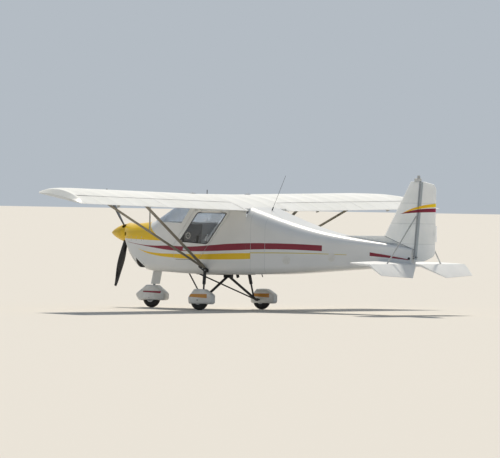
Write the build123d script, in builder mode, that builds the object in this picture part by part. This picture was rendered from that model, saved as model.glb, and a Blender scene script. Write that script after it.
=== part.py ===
from build123d import *
from math import cos, radians, sin, tan
import os

# Two-seat high-wing ultralight aircraft on a tricycle gear, in millimetres. The frame has +X forward,
# +Y to port and +Z up. The origin lies on the ground, below the middle of the aircraft's box. Port
# pieces are modelled and the starboard ones are mirrored from them.

os.makedirs("parts", exist_ok=True)

# Clearances
seat_gap = 0.3  # fixed pieces that lie against each other
fit_gap = 0.1  # a pin or shaft in its bore
panel_gap = 5.5  # round a door
surface_gap = 6.0  # between a control surface's nose and its cove

# Hull, from the spinner to the tail
spinner_tip_x = 3100
spinner_base_x = 2742
spinner_radius = 147
thrust_z = 1165
cowl_front_x = 2730
firewall_x = 2130
deck_end_x = 110
tail_end_x = -2680
hull_wall = 12
cowl_wall = 6
glass_wall = 4
cowl_split_z = 1080

# Wing
wing_le_x = 1340
wing_le_z = 1718
wing_chord = 1310
wing_incidence = 7.5
wing_dihedral = 1.0
root_y = 532
te_thickness = 5

# Control surfaces on the wing
surface_chord = 300
surface_end_gap = 8
surface_bay = (600, 4490)  # y of the bay's two ends
flap_end_y = 2600

# Propeller
blade_radius = 890
blade_count = 3
blade_turn = 40  # first blade, from straight up towards port

# Gear
tyre_radius = 157
tyre_width = 100
rim_radius = 60
axle_radius = 10
track_half = 820
main_axle_x = 745
nose_axle_x = 2290
nose_leg_top = (2190, 620)  # x and z of a point high on the steering axis


def write(part, name):
    """Labels a finished piece and writes it under its node's name."""
    part.label = name
    export_step(part, f"parts/{name}.step")


def write_pair(part, name):
    """Writes a port piece and its mirror image to starboard."""
    write(part, f"port_{name}")
    write(mirror(part, about=Plane.XZ), f"starboard_{name}")


def write_both(part, name):
    """Writes a port piece and its mirror image in one node, as solids that don't touch."""
    with BuildPart() as both:
        add(part)
        add(mirror(part, about=Plane.XZ))
    write(both.part, name)


def rod(start, end, radius):
    """A round bar between two points."""
    start, end = Vector(*start), Vector(*end)
    with BuildPart() as bar:
        with BuildSketch(Plane(origin=start, z_dir=end - start)):
            Circle(radius)
        extrude(amount=(end - start).length)
    return bar.part


def streamlined(start, end, chord, thickness):
    """A strut of streamlined tube between two points, its long axis fore and aft."""
    start, end = Vector(*start), Vector(*end)
    nose = thickness / 2
    with BuildPart() as bar:
        with BuildSketch(Plane(origin=start, x_dir=(-1, 0, 0), z_dir=end - start)) as section:
            with Locations((-chord / 2 + nose, 0)):
                Circle(nose)
            with Locations((chord / 2 - nose / 4, 0)):
                Circle(nose / 4)
            make_hull()
        extrude(amount=(end - start).length)
    return bar.part


def side_prism(outline, near_y, far_y, corner=0, inset=0):
    """A prism across the aircraft from an outline of (x, z) points seen from the side."""
    with BuildPart() as prism:
        with BuildSketch(Plane(origin=(0, near_y, 0), x_dir=(1, 0, 0), z_dir=(0, -1, 0))) as face:
            with BuildLine():
                Polyline(*outline, close=True)
            make_face()
            if corner:
                fillet(face.vertices(), corner)
            if inset:
                offset(amount=-inset, mode=Mode.REPLACE)
        extrude(amount=near_y - far_y)
    return prism.part


# Hinges of the flying surfaces: a lug on the fixed side, and a pin across a slot in the moving side
lug_thickness = 6
slot_width = 11
slot_room = 4


def hinge_lug(plane, reach, half_height, pin):
    """A lug round a hinge line, on a plane whose x axis points at the moving surface."""
    with BuildPart() as lug:
        with BuildSketch(plane):
            Circle(half_height)
            with Locations((-reach / 2, 0)):
                Rectangle(reach, 2 * half_height)
            Circle(pin + fit_gap, mode=Mode.SUBTRACT)
        extrude(amount=lug_thickness / 2, both=True)
    return lug.part


def hinge_slot(plane, nose, half_height):
    """The room that a surface's nose leaves round a lug."""
    reach = 2 * nose
    with BuildPart() as slot:
        with BuildSketch(plane):
            Circle(half_height + slot_room)
            with Locations((-reach / 2, 0)):
                Rectangle(reach, 2 * reach)
        extrude(amount=slot_width / 2, both=True)
    return slot.part


def hinge_pin(plane, pin):
    """A pin across a slot."""
    with BuildPart() as bar:
        with BuildSketch(plane):
            Circle(pin)
        extrude(amount=slot_width / 2 + 2, both=True)
    return bar.part


# Wing frame: local x runs aft along the chord, local y up, stations run outboard
wing_root = Vector(wing_le_x, root_y, wing_le_z)
chordwise = Vector(-cos(radians(wing_incidence)), 0, -sin(radians(wing_incidence)))
spanwise = Vector(0, cos(radians(wing_dihedral)), sin(radians(wing_dihedral)))
upper_rise = 0.100
front_rise = 0.0579
lower_drop = 0.0245
upper_front = 0.032
lower_front = 0.030


def wing_point(aft, out, up=0):
    """A point of the port wing from its distances along the chord, along the span and above."""
    plane = Plane(origin=wing_root + spanwise * out, x_dir=chordwise, z_dir=spanwise)
    return plane.from_local_coords(Vector(aft, up, 0))


def wing_plane(out, aft=0, up=0):
    """The plane of the port wing's rib at a station, its origin at a place in the rib."""
    return Plane(origin=wing_point(aft, out, up), x_dir=chordwise, z_dir=spanwise)


def underside_z(x):
    """Height of the wing's flat underside above the centreline at a place along the aircraft."""
    front = wing_point(lower_front * wing_chord, 0, -lower_drop * wing_chord)
    back = wing_point(wing_chord, 0, -te_thickness / 2)
    return front.Z + (x - front.X) * (back.Z - front.Z) / (back.X - front.X)


def rib(plane, chord, depth=1.0, nose=1.0):
    """The wing's section: an arched top, a round nose and a flat bottom."""
    with BuildSketch(plane) as section:
        with BuildLine():
            top = ThreePointArc(
                (chord, te_thickness / 2),
                (0.47 * chord, depth * upper_rise * chord),
                (nose * upper_front * chord, nose * front_rise * chord),
            )
            TangentArc(
                (nose * upper_front * chord, nose * front_rise * chord),
                (nose * lower_front * chord, -nose * lower_drop * chord),
                tangent=top % 1,
            )
            Polyline(
                (nose * lower_front * chord, -nose * lower_drop * chord),
                (chord, -te_thickness / 2),
                (chord, te_thickness / 2),
            )
        make_face()
    return section.sketch


# Hull stations: x, half width, bottom, top, radius of the low and of the high corners
cabin_rows = (
    (firewall_x, 430, 600, 1345, 120, 240),
    (2020, 452, 585, 1368, 120, 240),
    (1352, 535, 558, underside_z(1352) - seat_gap, 110, 130),
    (800, 555, 552, underside_z(800) - seat_gap, 110, 50),
    (deck_end_x, 510, 565, underside_z(deck_end_x) - seat_gap, 110, 50),
)
cowl_rows = (
    (cowl_front_x, 160, 1005, 1325, 150, 150),
    (2610, 262, 868, 1310, 170, 170),
    (2440, 340, 700, 1318, 170, 200),
    (firewall_x + seat_gap, 430, 600, 1345, 120, 240),
)
rear_rows = (
    (deck_end_x - seat_gap, 510, 565, 1600, 110, 230),
    (-360, 452, 585, 1448, 110, 225),
    (-1000, 340, 630, 1272, 95, 185),
    (-1750, 208, 684, 1142, 70, 110),
    (tail_end_x, 62, 758, 1008, 40, 40),
)


def hull(rows, wall=0, ruled=False, overshoot=0):
    """A solid through hull stations, each drawn in by a wall and run out past both ends."""
    sections = []
    for index, (x, half_width, bottom, top, low_radius, high_radius) in enumerate(rows):
        past = overshoot * ((index == 0) - (index == len(rows) - 1))
        origin = (x + past, 0, (bottom + top) / 2)
        with BuildSketch(Plane(origin=origin, x_dir=(0, 1, 0), z_dir=(1, 0, 0))) as section:
            Rectangle(2 * (half_width - wall), top - bottom - 2 * wall)
            fillet(section.vertices().group_by(Axis.Y)[0], low_radius - wall)
            fillet(section.vertices().group_by(Axis.Y)[-1], high_radius - wall)
        sections.append(section.sketch)
    with BuildPart() as body:
        loft(sections, ruled=ruled)
    return body.part


cabin_outer = hull(cabin_rows, ruled=True)
cabin_inner = hull(cabin_rows, wall=hull_wall, ruled=True, overshoot=1)
cabin_glass_inner = hull(cabin_rows, wall=glass_wall, ruled=True, overshoot=1)

# Outlines seen from the side, as (x, z)
door_outline = ((1078, 1543), (1482, 1010), (1482, 770), (985, 770), (360, 1543))
window_outline = ((1010, 1508), (1372, 1052), (812, 1022), (452, 1508))
screen_outline = ((2020, 1362), (1330, 1338), (1128, 1610), (1128, 1900), (2020, 1900))
door_corner = 45
window_corner = 35
side_reach = (300, 700)  # how far out the cuts for a door run
hinge_y = 566
hinge_z = 1551
hinge_rows = ((560, 26), (960, 14))  # x, and how far in the door's leaf reaches from the pin
knuckle_radius = 6
pin_radius = 3
knuckle_length = 36
boss_length = 14

door_hole = side_prism(door_outline, *side_reach, corner=door_corner)
door_shape = side_prism(door_outline, *side_reach, corner=door_corner, inset=panel_gap)
window_hole = side_prism(window_outline, *side_reach, corner=window_corner)
window_shape = side_prism(window_outline, *side_reach, corner=window_corner, inset=seat_gap)
screen_hole = side_prism(screen_outline, -700, 700)
screen_shape = side_prism(screen_outline, -700, 700, inset=seat_gap)

# Cabin shell, with door openings and the windscreen's opening, and the fixed halves of the hinges
with BuildPart() as port_hinge_bosses:
    for station, _ in hinge_rows:
        for way in (-1, 1):
            middle = station + way * (knuckle_length + boss_length + 2) / 2
            with BuildSketch(Plane(origin=(middle - boss_length / 2, 0, 0), x_dir=(0, 1, 0), z_dir=(1, 0, 0))):
                with Locations((hinge_y, hinge_z)):
                    Circle(knuckle_radius)
                with Locations((hinge_y - 34, hinge_z + 8)):
                    Circle(knuckle_radius)
                make_hull()
            extrude(amount=boss_length)
        with BuildSketch(Plane(origin=(station - knuckle_length / 2 - 2, 0, 0), x_dir=(0, 1, 0), z_dir=(1, 0, 0))):
            with Locations((hinge_y, hinge_z)):
                Circle(pin_radius)
        extrude(amount=knuckle_length + 4)

with BuildPart() as cabin_shell:
    add(cabin_outer)
    add(port_hinge_bosses.part)
    add(mirror(port_hinge_bosses.part, about=Plane.XZ))
    add(cabin_inner, mode=Mode.SUBTRACT)
    add(door_hole, mode=Mode.SUBTRACT)
    add(mirror(door_hole, about=Plane.XZ), mode=Mode.SUBTRACT)
    add(screen_hole, mode=Mode.SUBTRACT)
write(cabin_shell.part, "cabin_shell")

with BuildPart() as windscreen:
    add(cabin_outer)
    add(cabin_glass_inner, mode=Mode.SUBTRACT)
    add(screen_shape, mode=Mode.INTERSECT)
write(windscreen.part, "windscreen")

# Doors, hinged along the top
with BuildPart() as port_door:
    add(cabin_outer)
    add(cabin_inner, mode=Mode.SUBTRACT)
    add(door_shape, mode=Mode.INTERSECT)
    add(window_hole, mode=Mode.SUBTRACT)
    for station, leaf_reach in hinge_rows:
        with BuildSketch(Plane(origin=(station - knuckle_length / 2, 0, 0), x_dir=(0, 1, 0), z_dir=(1, 0, 0))):
            with Locations((hinge_y, hinge_z)):
                Circle(knuckle_radius)
            with Locations((hinge_y - leaf_reach, hinge_z - 32)):
                Circle(knuckle_radius)
            make_hull()
            with Locations((hinge_y, hinge_z)):
                Circle(pin_radius + fit_gap, mode=Mode.SUBTRACT)
        extrude(amount=knuckle_length)
write_pair(port_door.part, "door")

with BuildPart() as port_door_window:
    add(cabin_outer)
    add(cabin_glass_inner, mode=Mode.SUBTRACT)
    add(window_shape, mode=Mode.INTERSECT)
write_pair(port_door_window.part, "door_window")

# Cowls round the engine, an upper and a lower one
cowl_outer = hull(cowl_rows)
inner_rows = ((cowl_front_x - cowl_wall,) + cowl_rows[0][1:],) + cowl_rows[1:-1]
inner_rows += ((firewall_x - 1,) + cowl_rows[-1][1:],)
cowl_inner = hull(inner_rows, wall=cowl_wall)
shaft_hole_radius = 62
outlet_outline = ((2330, 780), (2330, 500), (2125, 500), (2125, 652))  # across the foot of the lower cowl
inlet_rows = (  # y, z, width, height
    (-205, 1150, 90, 60),
    (205, 1150, 90, 60),
    (0, 930, 220, 90),
)
inlet_start_x = 2560
inlet_corner = 24

with BuildPart() as cowl:
    add(cowl_outer)
    add(cowl_inner, mode=Mode.SUBTRACT)
    with BuildSketch(Plane(origin=(cowl_front_x - 40, 0, thrust_z), x_dir=(0, 1, 0), z_dir=(1, 0, 0))):
        Circle(shaft_hole_radius)
    extrude(amount=80, mode=Mode.SUBTRACT)
    add(side_prism(outlet_outline, 600, -600), mode=Mode.SUBTRACT)
    for y, z, width, height in inlet_rows:
        with BuildSketch(Plane(origin=(inlet_start_x, y, z), x_dir=(0, 1, 0), z_dir=(1, 0, 0))):
            RectangleRounded(width, height, inlet_corner)
        extrude(amount=cowl_front_x + 70 - inlet_start_x, mode=Mode.SUBTRACT)

cowl_reach = 800
with BuildPart() as upper_cowl:
    add(cowl.part)
    with BuildSketch(Plane.XY.offset(cowl_split_z - cowl_reach)):
        with Locations((cowl_front_x, 0)):
            Rectangle(2 * cowl_reach, 2 * cowl_reach)
    extrude(amount=cowl_reach + seat_gap / 2, mode=Mode.SUBTRACT)
write(upper_cowl.part, "upper_cowl")

with BuildPart() as lower_cowl:
    add(cowl.part)
    with BuildSketch(Plane.XY.offset(cowl_split_z - seat_gap / 2)):
        with Locations((cowl_front_x, 0)):
            Rectangle(2 * cowl_reach, 2 * cowl_reach)
    extrude(amount=cowl_reach, mode=Mode.SUBTRACT)
write(lower_cowl.part, "lower_cowl")

# Firewall, just inside the front of the cabin shell
firewall_thickness = 6
firewall_rows = (
    (firewall_x - 2,) + cabin_rows[0][1:],
    (firewall_x - 2 - firewall_thickness,) + cabin_rows[0][1:],
)
with BuildPart() as firewall:
    add(hull(firewall_rows, wall=hull_wall + seat_gap, ruled=True))
write(firewall.part, "firewall")

# Engine as one block, with its gearbox nose and the four mounts to the firewall
engine_size = (330, 350, 300)
engine_x = 2380
engine_z = 1080
gearbox_radius = 75
shaft_radius = 34
mount_radius = 12
with BuildPart() as engine:
    with Locations((engine_x, 0, engine_z)):
        Box(*engine_size)
    fillet(engine.edges().filter_by(Axis.X), 40)
    front = engine_x + engine_size[0] / 2
    with BuildSketch(Plane(origin=(front - 1, 0, thrust_z), x_dir=(0, 1, 0), z_dir=(1, 0, 0))):
        Circle(gearbox_radius)
    extrude(amount=70)
    with BuildSketch(Plane(origin=(front, 0, thrust_z), x_dir=(0, 1, 0), z_dir=(1, 0, 0))):
        Circle(shaft_radius)
    extrude(amount=spinner_base_x - 1 - front - seat_gap)
    with BuildSketch(Plane(origin=(firewall_x - 2 + seat_gap, 0, engine_z), x_dir=(0, 1, 0), z_dir=(1, 0, 0))):
        with GridLocations(260, 200, 2, 2):
            Circle(mount_radius)
    extrude(amount=engine_x - firewall_x)
write(engine.part, "engine")


# Spinner: a pointed shell with a slot for each blade
spinner_wall = 4
spinner_tip_radius = 4
thrust_plane = Plane(origin=(0, 0, thrust_z), x_dir=(1, 0, 0), z_dir=(0, -1, 0))
thrust_axis = Axis((0, 0, thrust_z), (1, 0, 0))
hub_radius = 60
hub_length = 84
hub_back_x = spinner_base_x - 1
plate_back_x = cowl_front_x + 6
blade_x = hub_back_x + hub_length / 2
blade_root_radius = 34
blade_turns = [blade_turn + index * 360 / blade_count for index in range(blade_count)]


def spinner_solid(base_x, radius, tip_x):
    """A pointed ogive turned about the thrust line."""
    with BuildPart() as body:
        with BuildSketch(thrust_plane):
            with BuildLine():
                Spline(
                    (base_x, radius),
                    (base_x + 0.52 * (tip_x - base_x), 0.72 * radius),
                    (tip_x, spinner_tip_radius),
                    tangents=((1, 0), (1, -0.9)),
                )
                Polyline((tip_x, spinner_tip_radius), (tip_x, 0), (base_x, 0), (base_x, radius))
            make_face()
        revolve(axis=thrust_axis)
    return body.part


with BuildPart() as spinner:
    add(spinner_solid(spinner_base_x, spinner_radius, spinner_tip_x))
    add(
        spinner_solid(spinner_base_x - 1, spinner_radius - spinner_wall, spinner_tip_x - 4 * spinner_wall),
        mode=Mode.SUBTRACT,
    )
    for turn in blade_turns:
        tip = (blade_x, 300 * sin(radians(turn)), thrust_z + 300 * cos(radians(turn)))
        add(rod((blade_x, 0, thrust_z), tip, blade_root_radius + 8), mode=Mode.SUBTRACT)
write(spinner.part, "spinner")

# Propeller: a hub, its back plate that carries the spinner, and twisted blades
blade_rows = (  # radius, chord, thickness, pitch
    (40, 58, 50, 60),
    (150, 72, 30, 44),
    (420, 116, 16, 25),
    (700, 88, 10, 17),
    (blade_radius, 46, 6, 13),
)


def blade_section(radius, chord, thickness, pitch):
    """A blade's section at a radius, flattened and turned to its pitch."""
    plane = Plane(origin=(0, 0, radius), x_dir=(0, 1, 0), z_dir=(0, 0, 1)).rotated((0, 0, pitch))
    with BuildSketch(plane) as section:
        Ellipse(chord / 2, thickness / 2)
    return section.sketch


with BuildPart() as blade:
    loft([blade_section(*row) for row in blade_rows])

with BuildPart() as propeller:
    with BuildSketch(Plane(origin=(hub_back_x, 0, thrust_z), x_dir=(0, 1, 0), z_dir=(1, 0, 0))):
        Circle(hub_radius)
    extrude(amount=hub_length)
    with BuildSketch(Plane(origin=(plate_back_x, 0, thrust_z), x_dir=(0, 1, 0), z_dir=(1, 0, 0))):
        Circle(spinner_radius - 1)
        Circle(shaft_radius + 2, mode=Mode.SUBTRACT)
    extrude(amount=spinner_base_x - seat_gap - plate_back_x)
    for turn in blade_turns:
        add(Pos(blade_x, 0, thrust_z) * blade.part.rotate(Axis.X, -turn))
write(propeller.part, "propeller")

# Rear fuselage, a shell that narrows to the tail, with a slot for the tailplane
stab_root_x = -2090
stab_z = 812
stab_incidence = 4.0
stab_half_span = 1285
stab_root_chord = 665
stab_tip_chord = 400
stab_nose = 9
stab_crown = 17
elevator_nose = 14
elevator_droop = 40
tail_hinge_x = -2758
tail_hinge_z = stab_z - (stab_root_x - tail_hinge_x) * tan(radians(stab_incidence))


def tail_plane(y):
    """A plane across the tail, its local x forward along the tailplane's chord and y up."""
    slope = tan(radians(stab_incidence))
    return Plane(origin=(tail_hinge_x, y, tail_hinge_z), x_dir=(1, 0, slope), z_dir=(0, -1, 0))


def stab_section(y, chord, grow):
    """The tailplane's section at a distance from the centreline."""
    with BuildSketch(tail_plane(y)) as section:
        with Locations((chord - stab_nose, 0)):
            Circle(stab_nose + grow)
        with Locations((0.45 * chord, 0)):
            Circle(stab_crown + grow)
        with Locations((0, 0)):
            Circle(elevator_nose + grow)
        make_hull()
    return section.sketch


def stab_solid(grow=0):
    """Both halves of the tailplane, with rounded leading corners at the tips."""
    corner_y = stab_half_span - 70
    corner_chord = stab_tip_chord
    rows = (
        (-stab_half_span, corner_chord - 90),
        (-corner_y, corner_chord),
        (0, stab_root_chord),
        (corner_y, corner_chord),
        (stab_half_span, corner_chord - 90),
    )
    with BuildPart() as body:
        loft([stab_section(y, chord, grow) for y, chord in rows], ruled=True)
    return body.part


cove_radius = elevator_nose + surface_gap
tail_pin = 3
tail_lug = 7
tail_stations = (-1180, -700, -220, 220, 700, 1180)
elevator_fall = radians(elevator_droop)
with BuildPart() as stabiliser:
    add(stab_solid())
    with BuildSketch(tail_plane(stab_half_span + 1)):
        Circle(cove_radius)
        with Locations((-cove_radius, 0)):
            Rectangle(2 * cove_radius, 4 * cove_radius)
    extrude(amount=2 * stab_half_span + 2, mode=Mode.SUBTRACT)
    for y in tail_stations:
        aft = Plane(origin=(tail_hinge_x, y, tail_hinge_z), x_dir=-tail_plane(y).x_dir, z_dir=(0, 1, 0))
        add(hinge_lug(aft, cove_radius + 12, tail_lug, tail_pin))
write(stabiliser.part, "stabiliser")

rear_outer = hull(rear_rows)
rear_grown = hull(rear_rows, wall=-seat_gap)
rear_inner_rows = rear_rows[:-1] + ((tail_end_x + hull_wall,) + rear_rows[-1][1:],)
with BuildPart() as rear_fuselage:
    add(rear_outer)
    add(hull(rear_inner_rows, wall=hull_wall, overshoot=0.5), mode=Mode.SUBTRACT)
    add(stab_solid(grow=seat_gap), mode=Mode.SUBTRACT)
write(rear_fuselage.part, "rear_fuselage")

# Elevator in one piece, with a notch for the rudder, hanging at its lower stop
notch_apex_y = 62
notch_end_y = 519
elevator_tip_y = stab_half_span - 5
elevator_te_y = 1195
elevator_reach = 260
elevator_te_radius = 3
elevator_rows = (  # y and chord
    (-elevator_tip_y, 236),
    (0, 324),
    (elevator_tip_y, 236),
)


def elevator_section(y, chord):
    """The elevator's section at its lower stop."""
    fall = radians(elevator_droop - stab_incidence)
    with BuildSketch(tail_plane(y)) as section:
        Circle(elevator_nose)
        with Locations((-chord * cos(fall), -chord * sin(fall))):
            Circle(elevator_te_radius)
        make_hull()
    return section.sketch


with BuildPart() as elevator:
    loft([elevator_section(*row) for row in elevator_rows], ruled=True)
    with BuildSketch(Plane.XY.offset(400)):
        for side in (-1, 1):
            with BuildLine():
                Polyline(
                    (tail_hinge_x + 40, side * elevator_tip_y),
                    (tail_hinge_x - 40, side * elevator_tip_y),
                    (tail_hinge_x - elevator_reach, side * elevator_te_y),
                    (tail_hinge_x - elevator_reach, side * notch_end_y),
                    (tail_hinge_x - 8, side * notch_apex_y),
                    (tail_hinge_x - 8, 0),
                    (tail_hinge_x + 40, 0),
                    close=True,
                )
            make_face()
    extrude(amount=600, mode=Mode.INTERSECT)
    for y in tail_stations:
        fallen = Plane(
            origin=(tail_hinge_x, y, tail_hinge_z),
            x_dir=(-cos(elevator_fall), 0, -sin(elevator_fall)),
            z_dir=(0, 1, 0),
        )
        add(hinge_slot(fallen, elevator_nose, tail_lug), mode=Mode.SUBTRACT)
        add(hinge_pin(fallen, tail_pin))
write(elevator.part, "elevator")

# Fin with its low dorsal strip, standing on the rear fuselage
rudder_hinge_low = (-2730, 995)  # x and z of two points on the rudder's hinge line
rudder_hinge_high = (-2805, 1906)
rudder_rake = (rudder_hinge_low[0] - rudder_hinge_high[0]) / (rudder_hinge_high[1] - rudder_hinge_low[1])
rudder_nose = 24
rudder_bottom_z = 802
fin_top_z = 2035
fin_foot = (-2140, 1196)
fin_crown = (-2602, 2018)
dorsal_front_x = -1330
fin_half = 26


def rudder_hinge_x(z):
    """The rudder hinge line's place at a height."""
    return rudder_hinge_low[0] - (z - rudder_hinge_low[1]) * rudder_rake


def fin_le_x(z):
    """The fin's leading edge at a height."""
    return fin_foot[0] + (z - fin_foot[1]) * (fin_crown[0] - fin_foot[0]) / (fin_crown[1] - fin_foot[1])


def fin_section(z, crown):
    """The fin's section at a height, round in front and full at the hinge line."""
    front, back = fin_le_x(z), rudder_hinge_x(z)
    with BuildSketch(Plane.XY.offset(z)) as section:
        with Locations((front - 10, 0)):
            Circle(10)
        with Locations((0.55 * front + 0.45 * back, 0)):
            Circle(crown)
        with Locations((back, 0)):
            Circle(rudder_nose)
        make_hull()
    return section.sketch


hinge_line_top = (rudder_hinge_x(2200), 0, 2200)
hinge_line_foot = (rudder_hinge_x(600), 0, 600)
rudder_pin = 4
rudder_lug = 10
rudder_stations = (1250, 1560, 1870)
rudder_way = Vector(*hinge_line_top) - Vector(*hinge_line_foot)
rudder_planes = [Plane(origin=(rudder_hinge_x(z), 0, z), x_dir=(-1, 0, 0), z_dir=rudder_way) for z in rudder_stations]
with BuildPart() as fin:
    loft([fin_section(900, fin_half + 2), fin_section(fin_top_z, fin_half)], ruled=True)
    with BuildSketch(Plane.XZ.offset(-11)):
        with BuildLine():
            Polyline(
                (dorsal_front_x, 1192),
                (fin_foot[0] - 60, 1202),
                (fin_foot[0] - 60, 1000),
                (dorsal_front_x, 1000),
                close=True,
            )
        make_face()
    extrude(amount=22)
    add(rear_grown, mode=Mode.SUBTRACT)
    add(rod(hinge_line_foot, hinge_line_top, rudder_nose + surface_gap), mode=Mode.SUBTRACT)
    with BuildSketch(Plane.XZ.offset(-100)):
        with BuildLine():
            Polyline(
                (hinge_line_foot[0], hinge_line_foot[2]),
                (hinge_line_top[0], hinge_line_top[2]),
                (tail_end_x - 400, hinge_line_top[2]),
                (tail_end_x - 400, hinge_line_foot[2]),
                close=True,
            )
        make_face()
    extrude(amount=200, mode=Mode.SUBTRACT)
    for plane in rudder_planes:
        add(hinge_lug(plane, rudder_nose + surface_gap + 15, rudder_lug, rudder_pin))
write(fin.part, "fin")

# Rudder with its balance-free top, cut to its outline, and the tab on its trailing edge
rudder_outline = (
    (-2600, fin_top_z),
    (-2850, fin_top_z - 3),
    (-3034, 1990),
    (-3068, 1930),
    (-3066, 940),
    (-3040, 897),
    (-2880, 826),
    (-2600, rudder_bottom_z),
)
rudder_chord = 400
tab_low_z = 1120
tab_high_z = 1365
tab_end_x = -3100
with BuildPart() as rudder:
    tilted = Plane(origin=hinge_line_foot, z_dir=rudder_way, x_dir=(1, 0, 0))
    with BuildSketch(tilted):
        Circle(rudder_nose)
        with Locations((-rudder_chord, 0)):
            Circle(3)
        make_hull()
    extrude(amount=1700)
    with BuildSketch(Plane.XZ.offset(-100)):
        with BuildLine():
            Polyline(*rudder_outline, close=True)
        make_face()
    extrude(amount=200, mode=Mode.INTERSECT)
    with BuildSketch(Plane.XZ.offset(-1)):
        with BuildLine():
            Polyline(
                (-3060, tab_low_z), (tab_end_x, tab_low_z), (tab_end_x, tab_high_z), (-3060, tab_high_z), close=True
            )
        make_face()
    extrude(amount=2)
    for plane in rudder_planes:
        add(hinge_slot(plane, rudder_nose, rudder_lug), mode=Mode.SUBTRACT)
        add(hinge_pin(plane, rudder_pin))
write(rudder.part, "rudder")

# Wing panels with a bay for flap and aileron, and the section between them over the cabin
tip_rows = (  # y at both edges, how far the leading edge is drawn aft, shares of the depth and of the nose
    (root_y, root_y, 0, 1.0, 1.0),
    (3720, 3720, 0, 1.0, 1.0),
    (3900, 4150, 8, 1.0, 0.82),
    (4060, 4450, 30, 1.0, 0.50),
    (4180, 4640, 70, 0.92, 0.28),
    (4230, 4722, 105, 0.30, 0.12),
)


def tip_section(le_y, te_y, drawn, depth, nose_share):
    """A wing section whose two ends lie at different stations."""
    nose = wing_point(drawn, (le_y - root_y) / cos(radians(wing_dihedral)))
    tail = wing_point(wing_chord, (te_y - root_y) / cos(radians(wing_dihedral)))
    across = tail - nose
    plane = Plane(origin=nose, x_dir=across, z_dir=across.cross(Vector(0, 0, 1)))
    return rib(plane, across.length, depth, nose_share)


def arc_height(x, chord):
    """Height of the rib's arched top at a distance along the chord."""
    ends = ((chord, te_thickness / 2), (0.47 * chord, upper_rise * chord), (upper_front * chord, front_rise * chord))
    arc = ThreePointArc(*ends)
    centre = arc.arc_center
    return centre.Y + (arc.radius**2 - (x - centre.X) ** 2) ** 0.5


def floor_height(x, chord):
    """Height of the rib's flat bottom at a distance along the chord."""
    front, drop = lower_front * chord, lower_drop * chord
    return -drop + (x - front) * (drop - te_thickness / 2) / (chord - front)


with BuildPart() as whole_wing:
    loft([tip_section(*row) for row in tip_rows], ruled=True)

surface_x = wing_chord - surface_chord
surface_top = arc_height(surface_x, wing_chord)
surface_floor = floor_height(surface_x, wing_chord)
surface_nose = (surface_top - surface_floor) / 2 - 1
surface_y = (surface_top + surface_floor) / 2
bay_plane = wing_plane(surface_bay[0] - root_y)
bay_length = surface_bay[1] - surface_bay[0]
bay_height = 300
wing_pin = 4
wing_lug = 13
flap_stations = (800, 1600, 2400)
aileron_stations = (2800, 3550, 4300)
with BuildPart() as port_wing:
    add(whole_wing.part)
    with BuildSketch(bay_plane):
        with Locations((surface_x, surface_y)):
            Circle(surface_nose + surface_gap)
        with Locations((surface_x + bay_height, surface_y)):
            Rectangle(2 * bay_height, bay_height)
    extrude(amount=bay_length, mode=Mode.SUBTRACT)
    for y in flap_stations + aileron_stations:
        plane = wing_plane(y - root_y, surface_x, surface_y)
        add(hinge_lug(plane, surface_nose + surface_gap + 20, wing_lug, wing_pin))
write_pair(port_wing.part, "wing")


def surface(start_y, end_y, stations):
    """A flap or aileron between two ends, hinged at its stations."""
    with BuildPart() as body:
        with BuildSketch(wing_plane(start_y - root_y)):
            with Locations((surface_x, surface_y)):
                Circle(surface_nose)
            with Locations((wing_chord - te_thickness / 2, 0)):
                Circle(te_thickness / 2)
            make_hull()
        extrude(amount=end_y - start_y)
        for y in stations:
            plane = wing_plane(y - root_y, surface_x, surface_y)
            add(hinge_slot(plane, surface_nose, wing_lug), mode=Mode.SUBTRACT)
            add(hinge_pin(plane, wing_pin))
    return body.part


flap_ends = (surface_bay[0] + surface_end_gap, flap_end_y - surface_end_gap / 2)
aileron_ends = (flap_end_y + surface_end_gap / 2, surface_bay[1] - surface_end_gap)
write_pair(surface(*flap_ends, flap_stations), "flap")
write_pair(surface(*aileron_ends, aileron_stations), "aileron")

with BuildPart() as centre_section:
    add(rib(Plane(origin=(wing_le_x, seat_gap - root_y, wing_le_z), x_dir=chordwise, z_dir=(0, 1, 0)), wing_chord))
    extrude(amount=2 * (root_y - seat_gap), dir=(0, 1, 0))
    with BuildSketch(Plane.XY.offset(1000)):
        with Locations((deck_end_x + seat_gap - 500, 0)):
            Rectangle(1000, 4 * root_y)
    extrude(amount=1000, mode=Mode.SUBTRACT)
write(centre_section.part, "centre_section")

# Lift struts in a V from the fitting at the cabin's foot to both spars, with a jury strut on the front one
strut_y = 2720
front_spar = 0.05
rear_spar = 0.735
front_strut_foot = (880, 580, 672)
rear_strut_foot = (825, 580, 650)
strut_chord = 62
strut_thickness = 26


def wing_floor_point(share, y, below=0):
    """A point on the flat bottom of the port wing."""
    aft = share * wing_chord
    return wing_point(aft, (y - root_y) / cos(radians(wing_dihedral)), floor_height(aft, wing_chord) - below)


jury_share = 0.51  # how far up the front strut its jury strut stands
jury_radius = 11
wing_floor_cut = 60


def trimmed(bar, *others):
    """A bar with the space of its neighbours taken out of it."""
    with BuildPart() as cut:
        add(bar)
        for other in others:
            add(other, mode=Mode.SUBTRACT)
    return cut.part


def biggest(part):
    """The largest solid of a cut piece, without the offcuts beyond its seat."""
    return part.solids().sort_by(SortBy.VOLUME)[-1]


def lift_strut(foot, spar_share, grow=0, past=0):
    """A lift strut's bar from its foot to the wing's flat bottom, and on past it."""
    foot = Vector(*foot)
    head = wing_floor_point(spar_share, strut_y, seat_gap)
    head += (head - foot).normalized() * past
    return streamlined(foot, head, strut_chord + 2 * grow, strut_thickness + 2 * grow)


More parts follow.
